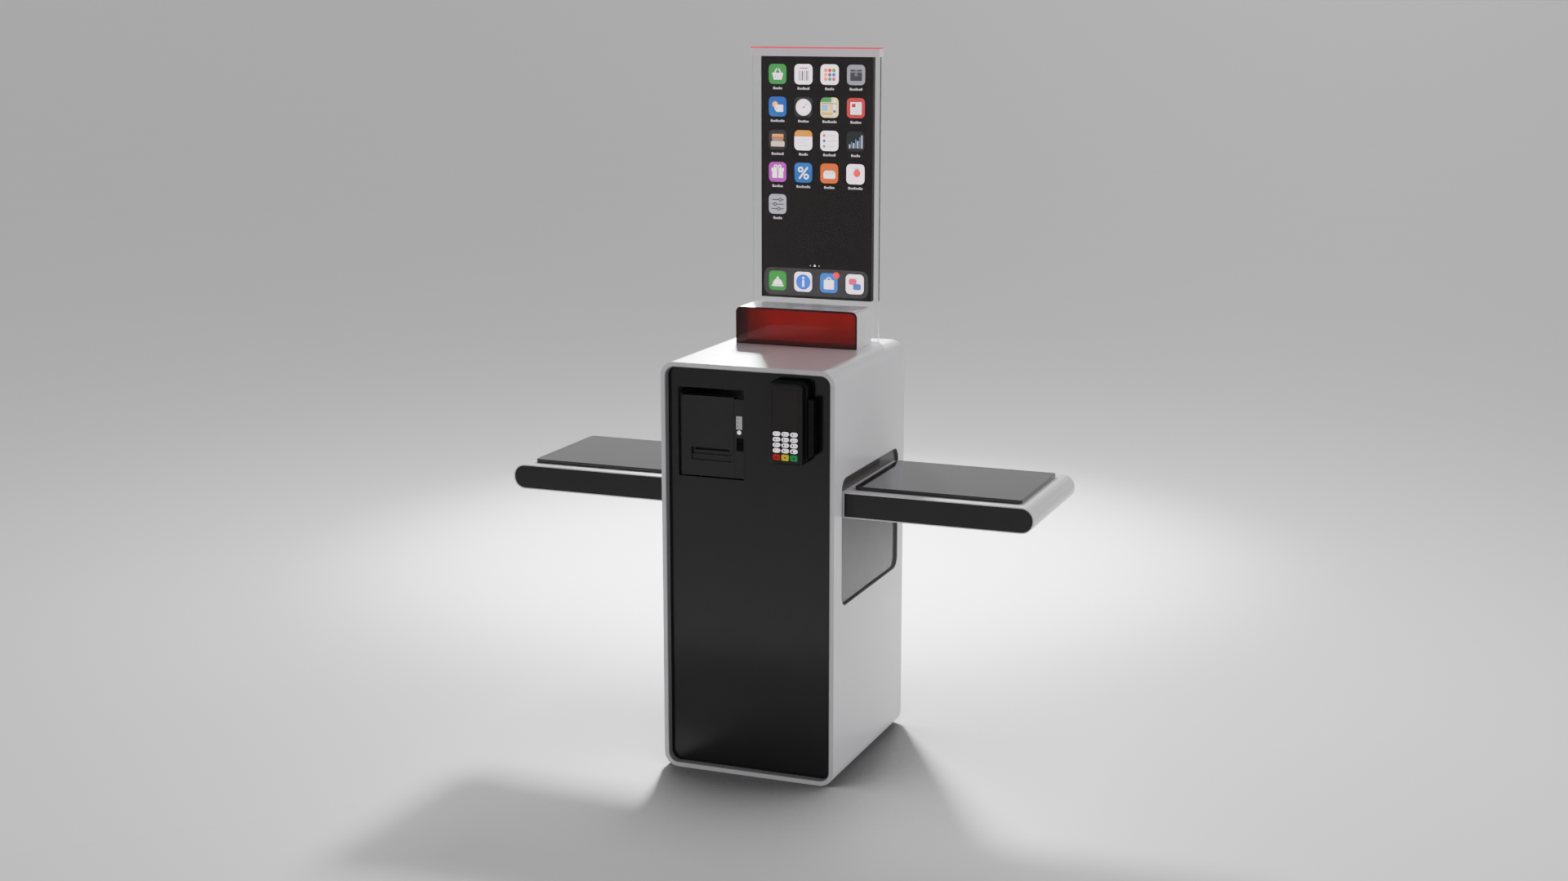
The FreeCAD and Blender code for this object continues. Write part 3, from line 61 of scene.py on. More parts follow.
class Shader:
    """A node tree being wired up around one Principled BSDF."""

    def __init__(self, name):
        self.material = bpy.data.materials.new(name)
        self.material.use_nodes = True
        self.tree = self.material.node_tree
        self.bsdf = self.tree.nodes["Principled BSDF"]
        self.place = self.add("ShaderNodeTexCoord").outputs["Object"]

    def add(self, kind, **settings):
        node = self.tree.nodes.new(kind)
        for key, value in settings.items():
            setattr(node, key, value)
        return node

    def link(self, source, target):
        self.tree.links.new(source, target)

    def stretched(self, scale):
        """The object coordinates, scaled by a different amount along each axis."""
        mapping = self.add("ShaderNodeMapping")
        mapping.inputs["Scale"].default_value = scale
        self.link(self.place, mapping.inputs["Vector"])
        return mapping.outputs["Vector"]

    def noise(self, scale, detail=3.0, rough=0.55, place=None):
        node = self.add("ShaderNodeTexNoise")
        node.inputs["Scale"].default_value = scale
        node.inputs["Detail"].default_value = detail
        node.inputs["Roughness"].default_value = rough
        self.link(place or self.place, node.inputs["Vector"])
        return node.outputs["Fac"]

    def spread(self, source, low, high, low_in=0.35, high_in=0.65):
        """A grey value remapped from its middle band to the range low to high."""
        node = self.add("ShaderNodeMapRange")
        node.inputs["From Min"].default_value = low_in
        node.inputs["From Max"].default_value = high_in
        node.inputs["To Min"].default_value = low
        node.inputs["To Max"].default_value = high
        self.link(source, node.inputs["Value"])
        return node.outputs["Result"]

    def maths(self, operation, first, second):
        node = self.add("ShaderNodeMath", operation=operation)
        for socket, value in zip(node.inputs, (first, second)):
            if isinstance(value, (int, float)):
                socket.default_value = value
            else:
                self.link(value, socket)
        return node.outputs["Value"]

    def mix(self, factor, first, second):
        node = self.add("ShaderNodeMix", data_type="RGBA")
        self.link(factor, node.inputs["Factor"])
        for socket, colour in ((node.inputs[MIX_FIRST], first),
                               (node.inputs[MIX_SECOND], second)):
            if isinstance(colour, tuple):
                socket.default_value = (*colour, 1)
            else:
                self.link(colour, socket)
        return node.outputs[MIX_RESULT]

    def bump(self, height, strength, distance, below=None):
        node = self.add("ShaderNodeBump")
        node.inputs["Strength"].default_value = strength
        node.inputs["Distance"].default_value = distance
        self.link(height, node.inputs["Height"])
        if below is not None:
            self.link(below, node.inputs["Normal"])
        return node.outputs["Normal"]

    def set(self, **values):
        """Sets inputs of the BSDF by name, with underscores for spaces."""
        for key, value in values.items():
            self.bsdf.inputs[key.replace("_", " ")].default_value = value


def shaded(colour, share):
    return tuple(channel * share for channel in colour)


def surface(name, colour, rough, swing=0.06, tint=0.93, grain=900.0, grain_depth=0.00002,
            wave=0.0, scuffs=0.0, specular=0.5, glint=(1.0, 1.0, 1.0)):
    """A finish whose colour, roughness and relief all vary over the piece."""
    s = Shader(name)
    s.set(Specular_IOR_Level=specular, Specular_Tint=(*glint, 1.0))
    cloud = s.noise(*CLOUD)
    s.link(s.mix(s.spread(cloud, 0, 1), colour, shaded(colour, tint)),
           s.bsdf.inputs["Base Color"])
    roughness = s.spread(s.noise(*PATCHES), rough - swing, rough + swing)
    if scuffs:
        streaks = s.noise(1.0, 3.0, 0.5, s.stretched((14.0, 60.0, 420.0)))
        roughness = s.maths("ADD", roughness, s.spread(streaks, 0, scuffs, 0.60, 0.78))
    s.link(roughness, s.bsdf.inputs["Roughness"])
    normal = s.bump(s.noise(grain, 2.0), 0.35, grain_depth)
    if wave:
        normal = s.bump(s.noise(*RIPPLE), 0.5, wave, normal)
    s.link(normal, s.bsdf.inputs["Normal"])
    return s.material


def brushed(name, colour, rough, direction):
    """Metal with fine brush lines along one axis."""
    s = Shader(name)
    s.set(Metallic=1.0)
    lines = s.noise(1.0, 4.0, 0.7, s.stretched(direction))
    s.link(s.mix(s.spread(lines, 0, 1), colour, shaded(colour, 0.8)), s.bsdf.inputs["Base Color"])
    s.link(s.spread(lines, rough - 0.07, rough + 0.1), s.bsdf.inputs["Roughness"])
    s.link(s.bump(lines, 0.25, 0.00003), s.bsdf.inputs["Normal"])
    return s.material


def clear_glass(name, colour, ior=1.46):
    """Clear or tinted glass with faint smears."""
    s = Shader(name)
    s.set(IOR=ior, Transmission_Weight=1.0)
    smear = s.noise(9.0, 6.0, 0.7, s.stretched((1.0, 1.0, 2.4)))
    s.link(s.mix(s.spread(smear, 0, 1), colour, shaded(colour, 0.985)),
           s.bsdf.inputs["Base Color"])
    s.link(s.spread(smear, 0.0, SMEAR_ROUGHNESS, 0.5, 0.8), s.bsdf.inputs["Roughness"])
    return s.material


def glowing(name, colour, strength, dim=0.8, scale=30.0, body=0.5, rough=0.3, specular=0.5,
            fades=()):
    """A face that gives out light, its brightness wavering a little. Lamps use it, and so do parts
    that are no lamps, as painted glow. Each fade is an axis, the place where it starts, the place
    where the light is full, and the share left at its dark end; a fade paints shade."""
    s = Shader(name)
    s.set(Roughness=rough, Specular_IOR_Level=specular)
    cloud = s.noise(scale, 2.0)
    s.link(s.mix(s.spread(cloud, 0, 1), shaded(colour, body), shaded(colour, body * 0.84)),
           s.bsdf.inputs["Base Color"])
    s.link(s.mix(s.spread(cloud, 0, 1), colour, shaded(colour, dim)),
           s.bsdf.inputs["Emission Color"])
    power = s.spread(cloud, strength * 0.94, strength)
    if fades:
        split = s.add("ShaderNodeSeparateXYZ")
        s.link(s.place, split.inputs["Vector"])
    for axis, start, full, least in fades:
        power = s.maths("MULTIPLY", power,
                        s.spread(split.outputs[axis], least, 1.0, start, full))
    s.link(power, s.bsdf.inputs["Emission Strength"])
    return s.material


# ---- finishes -----------------------------------------------------------------------------

def lacquer():
    """White lacquer, polished more on its level faces than on its upright ones."""
    s = Shader("white_lacquer")
    s.set(Coat_Roughness=0.05, Coat_IOR=1.5)
    s.link(s.mix(s.spread(s.noise(*CLOUD), 0, 1), (0.72, 0.694, 0.73), (0.70, 0.674, 0.71)),
           s.bsdf.inputs["Base Color"])
    s.link(s.spread(s.noise(*PATCHES), 0.30, 0.36), s.bsdf.inputs["Roughness"])
    facing = s.add("ShaderNodeSeparateXYZ")
    s.link(s.add("ShaderNodeNewGeometry").outputs["Normal"], facing.inputs["Vector"])
    s.link(s.spread(facing.outputs["Z"], 0.30, 0.80, 0.3, 0.9), s.bsdf.inputs["Coat Weight"])
    fine = s.bump(s.noise(1200.0, 2.0), 0.35, 0.0000006)
    s.link(s.bump(s.noise(*RIPPLE), 0.5, 0.00003, fine), s.bsdf.inputs["Normal"])
    s.link(s.bump(s.noise(*RIPPLE), 0.5, 0.000018), s.bsdf.inputs["Coat Normal"])
    return s.material


WARM_GLINT = (1.0, 0.985, 0.955)

white = lacquer()
reveal_grey = surface("reveal_grey", (0.30, 0.295, 0.305), 0.34, scuffs=0.10, tint=0.95)
dark_trim = surface("dark_trim", (0.155, 0.15, 0.155), 0.38, scuffs=0.12)
black_gloss = surface("black_gloss", (0.0085, 0.0085, 0.009), 0.16, swing=0.03, wave=0.00012,
                      scuffs=0.10, tint=0.8)
smoked = surface("smoked_mirror", (0.030, 0.030, 0.032), 0.035, swing=0.02, grain=300,
                 grain_depth=0.000002, wave=0.00002, tint=0.9, glint=WARM_GLINT)
# The window glass is grey. Its base is also lighter than the smoked plates' as a painted, even
# reflection of the floor.
window_glass = surface("window_glass", (0.085, 0.081, 0.079), 0.06, swing=0.02, grain=300,
                       grain_depth=0.000002, wave=0.00002, specular=0.09, tint=0.9,
                       glint=WARM_GLINT)
plastic = surface("black_plastic", (0.010, 0.010, 0.0105), 0.42, grain=2600,
                  grain_depth=0.00004, scuffs=0.10, tint=0.85)
plastic_light = surface("cover_plastic", (0.0095, 0.0095, 0.0100), 0.40, grain=2600,
                        grain_depth=0.00004, scuffs=0.12, tint=0.85)
satin_black = surface("satin_black", (0.013, 0.013, 0.014), 0.50, swing=0.012, grain=900,
                      grain_depth=0.000003, tint=0.92, specular=0.25)
# The rear shell and bracket are a darker, duller black than the front shell. This is painted shade
# on the terminal's sides and back.
terminal_shaded_black = surface("terminal_shaded_black", (0.0050, 0.0050, 0.0053), 0.45, grain=2600,
                         grain_depth=0.00003, scuffs=0.08, tint=0.85, specular=0.22)
terminal_front = surface("terminal_front", (0.0095, 0.0090, 0.0095), 0.38, grain=2600,
                         grain_depth=0.00002, scuffs=0.08, tint=0.85, specular=0.38)
release_black = surface("release_black", (0.0022, 0.0022, 0.0024), 0.30, specular=0.12, tint=0.8)
steel = surface("painted_steel", (0.09, 0.092, 0.096), 0.45, grain=700, scuffs=0.15)
grey_paint = surface("grey_paint", (0.30, 0.31, 0.32), 0.42, grain=900, scuffs=0.10)
bright = brushed("bright_steel", (0.60, 0.61, 0.63), 0.26, (600.0, 12.0, 600.0))
rubber = surface("rubber", (0.018, 0.018, 0.018), 0.62, grain=1500, grain_depth=0.00005)
paper = surface("paper", (0.80, 0.80, 0.78), 0.75, grain=500, grain_depth=0.00003)
label_white = surface("label_white", (0.62, 0.62, 0.63), 0.42, grain=1600, tint=0.94)
# The key caps and the feed button glow faintly. This is painted light, so that they read brighter
# than the scene's lamps make them.
key_white_painted_glow = glowing("key_white_painted_glow", (1.0, 0.94, 1.0), 0.95, 0.93, 300.0, body=0.85)
key_red_painted_glow = glowing("key_red_painted_glow", (0.95, 0.008, 0.006), 0.10, 0.9, 300.0, body=0.50)
key_yellow_painted_glow = glowing("key_yellow_painted_glow", (0.90, 0.74, 0.012), 0.14, 0.9, 300.0, body=0.80)
key_green_painted_glow = glowing("key_green_painted_glow", (0.012, 0.48, 0.14), 0.09, 0.9, 300.0, body=0.60)
ink = surface("key_ink", (0.010, 0.009, 0.010), 0.6, grain=2200, specular=0.2)
faint_ink = surface("faint_ink", (0.36, 0.35, 0.37), 0.5, grain=2200)
blade_glass = clear_glass("blade_glass", (0.985, 0.995, 0.992), 1.33)
sleeve_glass = clear_glass("sleeve_glass", (0.985, 0.99, 0.99), 1.04)
red_glass = clear_glass("red_glass", (0.62, 0.055, 0.05))
liner_front, liner_rear = (corner.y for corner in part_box("scanner_liner"))
# The black liner carries a painted red glow, the scanner lamp's light on it, which fades out
# towards the front.
liner_painted_red_light = glowing("liner_painted_red_light", (0.95, 0.045, 0.045), 0.075, 0.8, 9.0, body=0.008, rough=0.5,
                      specular=0.12, fades=((1, liner_front + 0.012, liner_rear, 0.0),))
liner_gloss = surface("liner_gloss", (0.010, 0.006, 0.006), 0.12, swing=0.03, grain=1500)
terminal_glass = surface("terminal_glass", (0.0175, 0.0115, 0.0115), 0.16, swing=0.03,
                         grain=400, grain_depth=0.0000008, tint=0.85, specular=0.4)
display_black = glowing("display_black", (1.0, 0.50, 0.50), 0.0045, 0.9, 20.0, body=0.004,
                        rough=0.45, specular=0.16)
# The scanner's red lamp. It is dimmed towards its left end as a painted shadow of the box's left
# wall, and dimmed towards its bottom.
red_panel = glowing("red_panel", (0.95, 0.045, 0.052), 0.36, 0.8, 9.0,
                    fades=((0, -0.15, -0.075, 0.30), (2, 0.95, 1.005, 0.35)))
led_strip = glowing("led_strip", (1.0, 0.040, 0.110), 1.25, 0.85, 60.0, body=0.08, rough=0.6,
                    specular=0.0)
# The top cap is no lamp. Its faint glow is painted light that makes its white read brighter.
cap_white_painted_glow = glowing("cap_white_painted_glow", (1.0, 0.89, 0.98), 0.22, 0.95, 7.0, body=0.72, rough=0.30)


FINISHES = {
    white: ("outer_shell", "right_shelf_shell", "left_shelf_shell", "scanner_housing"),
    cap_white_painted_glow: ("top_cap",),
    reveal_grey: ("trim_frames",),
    dark_trim: ("window_trims",),
    black_gloss: ("front_panel", "shelf_fascias", "rear_door"),
    smoked: ("right_scale_plate", "left_scale_plate"),
    window_glass: ("window_panels",),
    plastic: ("printer_body", "connector_sockets", "scan_engine"),
    satin_black: ("display_rear_cover",),
    terminal_shaded_black: ("terminal_rear_shell", "terminal_bracket"),
    terminal_front: ("terminal_front_shell",),
    plastic_light: ("printer_cover",),
    steel: ("base_plate", "inner_frame", "scale_supports", "shelf_beams", "connection_plate",
            "door_hinges"),
    bright: ("glass_clamp", "fasteners", "door_lock"),
    grey_paint: ("mini_pc", "power_supply", "equipment_trays"),
    rubber: ("platen_roller",),
    paper: ("paper_roll",),
    liner_painted_red_light: ("scanner_liner",),
    red_panel: ("scanner_light",),
    red_glass: ("scanner_window",),
    terminal_glass: ("terminal_screen",),
    display_black: ("display_panel",),
    led_strip: ("status_light",),
    blade_glass: ("display_glass",),
    sleeve_glass: ("cable_duct",),
    release_black: ("cover_release",),
    key_white_painted_glow: ("feed_button", *(f"key_{n}" for n in range(10)), "key_star", "key_hash"),
    key_red_painted_glow: ("key_cancel",),
    key_yellow_painted_glow: ("key_clear",),
    key_green_painted_glow: ("key_enter",),
}
# Width of each piece's rounded edges, in millimetres. The others have PLAIN_EDGE.
PLAIN_EDGE = 0.4
EDGE_WIDTHS = {"outer_shell": 1.2, "top_cap": 1.0, "right_scale_plate": 1.0,
               "left_scale_plate": 1.0, "printer_cover": 0.8, "front_panel": 0.5,
               "right_shelf_shell": 0.6, "left_shelf_shell": 0.6, "scanner_housing": 1.0,
               "status_light": 0.2, "scanner_window": 0.8, "display_glass": 0.5}


def soften(piece, width):
    """Rounds a piece's sharp edges a little and evens out its shading."""
    weld = piece.modifiers.new("weld", "WELD")
    weld.merge_threshold = 0.000004
    flatten = piece.modifiers.new("flatten", "DECIMATE")
    flatten.decimate_type = "DISSOLVE"
    flatten.angle_limit = math.radians(0.2)
    bevel = piece.modifiers.new("edges", "BEVEL")
    bevel.width = width * MM
    bevel.segments = 2
    bevel.limit_method = "ANGLE"
    bevel.angle_limit = math.radians(34)
    bevel.miter_outer = "MITER_ARC"
    normals = piece.modifiers.new("normals", "WEIGHTED_NORMAL")
    normals.keep_sharp = True


for finish, names in FINISHES.items():
    for name in names:
        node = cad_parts[name]
        node.data.materials.clear()
        node.data.materials.append(finish)
        for attribute in [a for a in node.data.attributes if a.name == "custom_normal"]:
            node.data.attributes.remove(attribute)
        for polygon in node.data.polygons:
            polygon.use_smooth = True
        soften(node, EDGE_WIDTHS.get(name, PLAIN_EDGE))


def blacken_edges(piece):
    """Gives a pane's narrow edges, and their bevels, a black printed border."""
    border = len(piece.data.materials)
    piece.data.materials.append(satin_black)
    for polygon in piece.data.polygons:
        if abs(polygon.normal.y) < 0.7:
            polygon.material_index = border
    piece.modifiers["edges"].material = border


blacken_edges(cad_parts["scanner_window"])


# ---- building pieces ----------------------------------------------------------------------

def rounded(left, low, right, high, radius, steps=7):
    """Corner-rounded rectangle as points, anticlockwise; radius is one number or four."""
    radii = radius if isinstance(radius, tuple) else (radius,) * 4
    corners = ((left, low, 1, 1, 180), (right, low, -1, 1, 270), (right, high, -1, -1, 0),
               (left, high, 1, -1, 90))
    points = []
    for (x, z, dx, dz, start), r in zip(corners, radii):
        if r <= 0:
            points.append((x, z))
            continue
        for step in range(steps + 1):
            angle = math.radians(start + 90 * step / steps)
            points.append((x + dx * r + r * math.cos(angle), z + dz * r + r * math.sin(angle)))
    return points


def add_mesh(name, bm, material, body):
    """A new piece of one material, riding on a body."""
    mesh = bpy.data.meshes.new(name)
    bm.to_mesh(mesh)
    bm.free()
    mesh.materials.append(material)
    piece = bpy.data.objects.new(name, mesh)
    scene.collection.objects.link(piece)
    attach(piece, body)
    return piece


def add_prism(bm, outline, front, rear):
    """A solid with an outline in X and Z, from front to rear along Y, all in millimetres."""
    near = [bm.verts.new((x * MM, front * MM, z * MM)) for x, z in outline]
    far = [bm.verts.new((x * MM, rear * MM, z * MM)) for x, z in outline]
    bm.faces.new(near)
    bm.faces.new(far[::-1])
    count = len(outline)
    for i in range(count):
        j = (i + 1) % count
        bm.faces.new((near[j], near[i], far[i], far[j]))


def prism_piece(name, outline, front, rear, material, body, edge=0.0, segments=3):
    """A prism as a piece, its edges rounded by edge millimetres."""
    bm = bmesh.new()
    add_prism(bm, outline, front, rear)
    bmesh.ops.recalc_face_normals(bm, faces=bm.faces)
    for face in bm.faces:
        face.smooth = True
    piece = add_mesh(name, bm, material, body)
    if edge:
        bevel = piece.modifiers.new("edges", "BEVEL")
        bevel.width = edge * MM
        bevel.segments = segments
        bevel.limit_method = "ANGLE"
        bevel.angle_limit = math.radians(50)
    normals = piece.modifiers.new("normals", "WEIGHTED_NORMAL")
    normals.keep_sharp = True
    return piece


# ---- what the touch screen shows ----------------------------------------------------------

# All in millimetres. Columns, rows and heights are counted from the display's top left corner,
# and a caption's heights from the top of its tile.
TILE_WIDTH, TILE_HEIGHT, TILE_RADIUS = 44.4, 46.4, 10.3
CAPTION_TALL, CAPTION_SHORT, CAPTION_FOOT, CAPTION_GAP = 53.0, 54.8, 58.8, 1.15
LAYER_STEP = 0.045  # between a shape and the one that it lies on
COLUMNS, ROWS = (19.4, 84.4, 149.4, 214.4), (18.6, 94.3, 171.3, 247, 322.6)
DOCK_TOP, DOCK_FOOT, DOCK_RADIUS, DOCK_ICONS = 496.5, 561.5, 18, 505
PAGE_DOTS = 489
BLADE_GAP = 0.45  # room for the lit page between the blade and the display


def lit(red, green, blue):
    """Scene brightness that displays about as the given 0 to 255 values."""
    return tuple((c / 255) ** 2.2 * (1 + 6 * (c / 255) ** 8) for c in (red, green, blue))


class Screen:
    """Flat coloured shapes on the display's face, in millimetres from its top left corner."""

    def __init__(self, left, top, face):
        self.bm = bmesh.new()
        self.tint = self.bm.loops.layers.float_color.new("tint")
        self.left, self.top, self.face = left, top, face
        self.origin = (0.0, 0.0)

    def at(self, u, v):
        self.origin = (u, v)

    def shape(self, points, layer, colour):
        u0, v0 = self.origin
        y = (self.face - LAYER_STEP * layer) * MM
        verts = [self.bm.verts.new(((self.left + u0 + u) * MM, y, (self.top - v0 - v) * MM))
                 for u, v in points]
        face = self.bm.faces.new(verts)
        face.normal_update()
        if face.normal.y > 0:
            face.normal_flip()
        for loop in face.loops:
            loop[self.tint] = (*colour, 1.0)

    def box(self, u0, v0, u1, v1, colour, layer=2, radius=0.0):
        self.shape(rounded(u0, v0, u1, v1, radius), layer, colour)

    def disc(self, u, v, radius, colour, layer=2, sides=40):
        points = [(u + radius * math.cos(math.tau * i / sides),
                   v + radius * math.sin(math.tau * i / sides)) for i in range(sides)]
        self.shape(points, layer, colour)

    def ring(self, u, v, outer, inner, colour, layer=2, sides=40):
        for i in range(sides):
            a, b = math.tau * i / sides, math.tau * (i + 1) / sides
            self.shape([(u + r * math.cos(t), v + r * math.sin(t))
                        for r, t in ((inner, a), (outer, a), (outer, b), (inner, b))],
                       layer, colour)

    def bar(self, u0, v0, u1, v1, width, colour, layer=2):
        length = math.hypot(u1 - u0, v1 - v0)
        du, dv = (v1 - v0) / length * width / 2, (u0 - u1) / length * width / 2
        self.shape([(u0 + du, v0 + dv), (u1 + du, v1 + dv), (u1 - du, v1 - dv),
                    (u0 - du, v0 - dv)], layer, colour)

    def tile(self, colour, top_colour=None):
        """An icon's rounded base, a little lighter at the top."""
        self.box(0, 0, TILE_WIDTH, TILE_HEIGHT, colour, 1, TILE_RADIUS)
        if top_colour:
            self.box(0, 0, TILE_WIDTH, TILE_HEIGHT * 0.45, top_colour, 1.3,
                     (TILE_RADIUS, TILE_RADIUS, 0, 0))

    def caption(self, marks):
        """A dim row of blocks, tall and short, where an icon's caption goes."""
        total = sum(marks) + CAPTION_GAP * (len(marks) - 1)
        u = TILE_WIDTH / 2 - total / 2
        for index, width in enumerate(marks):
            top = CAPTION_TALL if index % 3 == 0 else CAPTION_SHORT
            self.box(u, top, u + width, CAPTION_FOOT, CAPTION, 1, 0.5)
            u += width + CAPTION_GAP


WHITE, CAPTION = lit(224, 218, 222), lit(186, 181, 185)
GREEN, BLUE, RED = lit(56, 154, 74), lit(26, 106, 176), lit(190, 46, 54)
ORANGE, MAGENTA = lit(198, 108, 20), lit(180, 58, 178)
GREY, DARK, INK = lit(160, 158, 166), lit(48, 46, 48), lit(70, 68, 74)
PALE_LINE = lit(190, 190, 192)


def basket(s):
    s.tile(GREEN)
    s.shape([(9, 21), (36, 21), (32, 36), (13, 36)], 2, WHITE)
    s.bar(14, 22, 20, 11, 2.2, WHITE)
    s.bar(31, 22, 25, 11, 2.2, WHITE)
    for u in (17, 22.5, 28):
        s.bar(u, 24, u, 33, 1.3, GREEN, 3)


def bar_code(s):
    s.tile(WHITE)
    s.box(12, 8, 33, 10.4, RED)
    for u, width in ((11, 2.2), (15, 1.2), (18, 3), (23, 1.2), (26, 1.2), (29, 3), (33, 1.4)):
        s.box(u, 15, u + width, 38, INK)


def fruit_crate(s):
    s.tile(WHITE)
    colours = (lit(226, 120, 50), lit(200, 60, 60), lit(120, 170, 70), lit(226, 180, 60),
               lit(150, 90, 170), lit(70, 140, 190), lit(226, 150, 60), lit(90, 170, 120),
               lit(210, 90, 110))
    for index, colour in enumerate(colours):
        s.disc(12.5 + 10 * (index % 3), 13.5 + 10 * (index // 3), 4.6, colour)


def parcel(s):
    s.tile(GREY)
    s.box(8, 17, 37, 37, INK, 2, 2)
    s.box(8, 11, 37, 15.5, INK, 2, 1.5)
    s.box(19, 11, 26, 26, lit(120, 118, 124), 3)


def price_tag(s):
    s.tile(BLUE, lit(34, 90, 176))
    s.disc(16, 18, 6.5, lit(222, 196, 96))
    s.shape([(14, 27), (20, 19), (36, 19), (36, 35), (20, 35)], 3, WHITE)
    s.disc(20, 27, 1.7, BLUE, 4)


def dial(s):
    s.tile(DARK)
    s.disc(22.5, 23.7, 19, WHITE)
    for index in range(12):
        angle = math.tau * index / 12
        s.bar(22.5 + 14.5 * math.cos(angle), 23.7 + 14.5 * math.sin(angle),
              22.5 + 17.2 * math.cos(angle), 23.7 + 17.2 * math.sin(angle), 1.2, INK, 3)
    s.bar(22.5, 23.7, 32, 14.5, 1.5, INK, 3)
    s.disc(22.5, 23.7, 2.2, RED, 4)


def shop_plan(s):
    s.tile(lit(214, 206, 170))
    s.box(0, 0, 27, 11, lit(84, 160, 92), 2, (TILE_RADIUS, 0, 0, 0))
    s.box(3, 17, 18, 31, lit(152, 186, 214))
    s.box(22, 17, 30, 31, lit(222, 196, 110))
    s.box(3, 35, 30, 40, lit(206, 178, 110), 2, 2)
    s.bar(34.5, 4, 34.5, 42, 4.5, WHITE)
    s.bar(3, 14, 40, 14, 2.2, lit(70, 120, 190), 3)
    s.disc(34.5, 32, 3.6, lit(70, 120, 190), 4)


def leaflet(s):
    s.tile(lit(186, 58, 66))
    s.box(9, 10, 36, 38, WHITE, 2, 1.5)
    s.box(12, 13, 22, 22, lit(186, 58, 66), 3)
    for v in (14, 18, 22):
        s.bar(25, v, 33, v, 1.4, PALE_LINE, 3)
    for v in (27, 31, 35):
        s.bar(12, v, 33, v, 1.4, PALE_LINE, 3)


def bank_cards(s):
    s.tile(DARK)
    for v, colour in ((10, lit(206, 170, 92)), (16, lit(190, 118, 82)), (22, lit(120, 160, 130))):
        s.box(7 + v / 8, v, 38 - v / 8, v + 12, colour, 2 + v / 30, 2)
    s.box(5.5, 27, 39.5, 39, lit(205, 190, 182), 3, 2.5)


def till_receipt(s):
    s.tile(lit(202, 160, 36))
    s.box(0, 15, TILE_WIDTH, TILE_HEIGHT, WHITE, 2, (0, 0, TILE_RADIUS, TILE_RADIUS))
    for v, u in ((22, 36), (29, 30), (36, 33)):
        s.bar(9, v, u, v, 1.3, PALE_LINE, 3)


def shopping_list(s):
    s.tile(WHITE)
    for v, colour in ((11, ORANGE), (23.5, BLUE), (36, lit(110, 170, 90))):
        s.box(6, v - 3.2, 12.4, v + 3.2, colour, 2, 1.2)
        s.bar(17, v, 38, v, 1.4, PALE_LINE)


def sales_bars(s):
    s.tile(lit(30, 30, 34))
    heights = (9, 15, 12, 21, 17, 26, 30)
    for index, height in enumerate(heights):
        u = 6 + 5 * index
        colour = lit(96, 130, 160) if index % 2 else lit(196, 194, 198)
        s.box(u, 39 - height, u + 3, 39, colour, 2, 0.8)


def gift(s):
    s.tile(MAGENTA)
    s.box(9, 20, 36, 37, WHITE, 2, 1.5)
    s.box(7, 14, 38, 21.5, WHITE, 3, 1.5)
    s.box(20.8, 14, 24.2, 37, MAGENTA, 4)
    s.ring(17.5, 10.6, 4.4, 2.4, WHITE, 3, 20)
    s.ring(27.5, 10.6, 4.4, 2.4, WHITE, 3, 20)


def offers(s):
    s.tile(BLUE, lit(30, 114, 184))
    s.ring(15.5, 16, 6.4, 3.4, WHITE)
    s.ring(29.5, 32, 6.4, 3.4, WHITE)
    s.bar(33, 10.5, 12, 37.5, 3.2, WHITE)


def bread(s):
    s.tile(ORANGE)
    s.box(8, 17, 37, 35, WHITE, 2, (8, 8, 3, 3))
    for u in (15, 22.5, 30):
        s.bar(u + 2, 19.5, u - 2, 26, 1.8, ORANGE, 3)


def tomato(s):
    s.tile(WHITE)
    s.disc(26, 21, 9, lit(214, 66, 72))
    for u, v in ((20, 9), (26, 7), (32, 9)):
        s.bar(26, 14, u, v, 2, lit(90, 160, 84), 3)


def sliders(s):
    s.tile(lit(176, 174, 182))
    for v, u in ((13, 29), (23.7, 16), (34.5, 25)):
        s.bar(7, v, 38, v, 2.4, INK)
        s.disc(u, v, 4.6, INK, 3)
        s.disc(u, v, 2.2, lit(176, 174, 182), 4)


def call_bell(s):
    s.tile(lit(52, 158, 66))
    s.shape([(22.5 + 12 * math.cos(math.radians(a)), 32 + 13 * math.sin(math.radians(a)))
             for a in range(180, 361, 10)], 2, WHITE)
    s.box(8, 33, 37, 36.5, WHITE, 2, 1.5)
    s.disc(22.5, 16.5, 2.6, WHITE)


def information(s):
    s.tile(WHITE)
    s.disc(22.5, 23.7, 18.5, lit(44, 118, 206))
    s.disc(22.5, 14.5, 2.8, WHITE, 3)
    s.box(20, 19.5, 25, 35, WHITE, 3, 1.5)


def carrier_bag(s):
    s.tile(lit(42, 128, 196))
    s.box(10, 16, 35, 38, WHITE, 2, 2)
    s.ring(22.5, 16, 6.5, 4.6, WHITE, 2)
    s.disc(41, 4.5, 7.6, lit(214, 50, 56), 4)


def speech(s):
    s.tile(WHITE)
    s.box(7, 10, 27, 25, lit(206, 84, 130), 2, 5)
    s.box(18, 22, 38, 37, lit(80, 130, 190), 3, 5)


def screen_pixels():
    """Shows the shapes' own colours, with a faint flicker from place to place."""
    shader = Shader("screen_pixels")
    shader.set(Roughness=0.25, Base_Color=(0.01, 0.01, 0.01, 1), Emission_Strength=1.0)
    tint = shader.add("ShaderNodeVertexColor", layer_name="tint").outputs["Color"]
    flicker = shader.spread(shader.noise(60.0, 2.0), 0, 1)
    dimmed = shader.add("ShaderNodeMix", data_type="RGBA", blend_type="MULTIPLY")
    dimmed.inputs["Factor"].default_value = 0.06
    shader.link(tint, dimmed.inputs[MIX_FIRST])
    shader.link(flicker, dimmed.inputs[MIX_SECOND])
    shader.link(dimmed.outputs[MIX_RESULT], shader.bsdf.inputs["Emission Color"])
    return shader.material


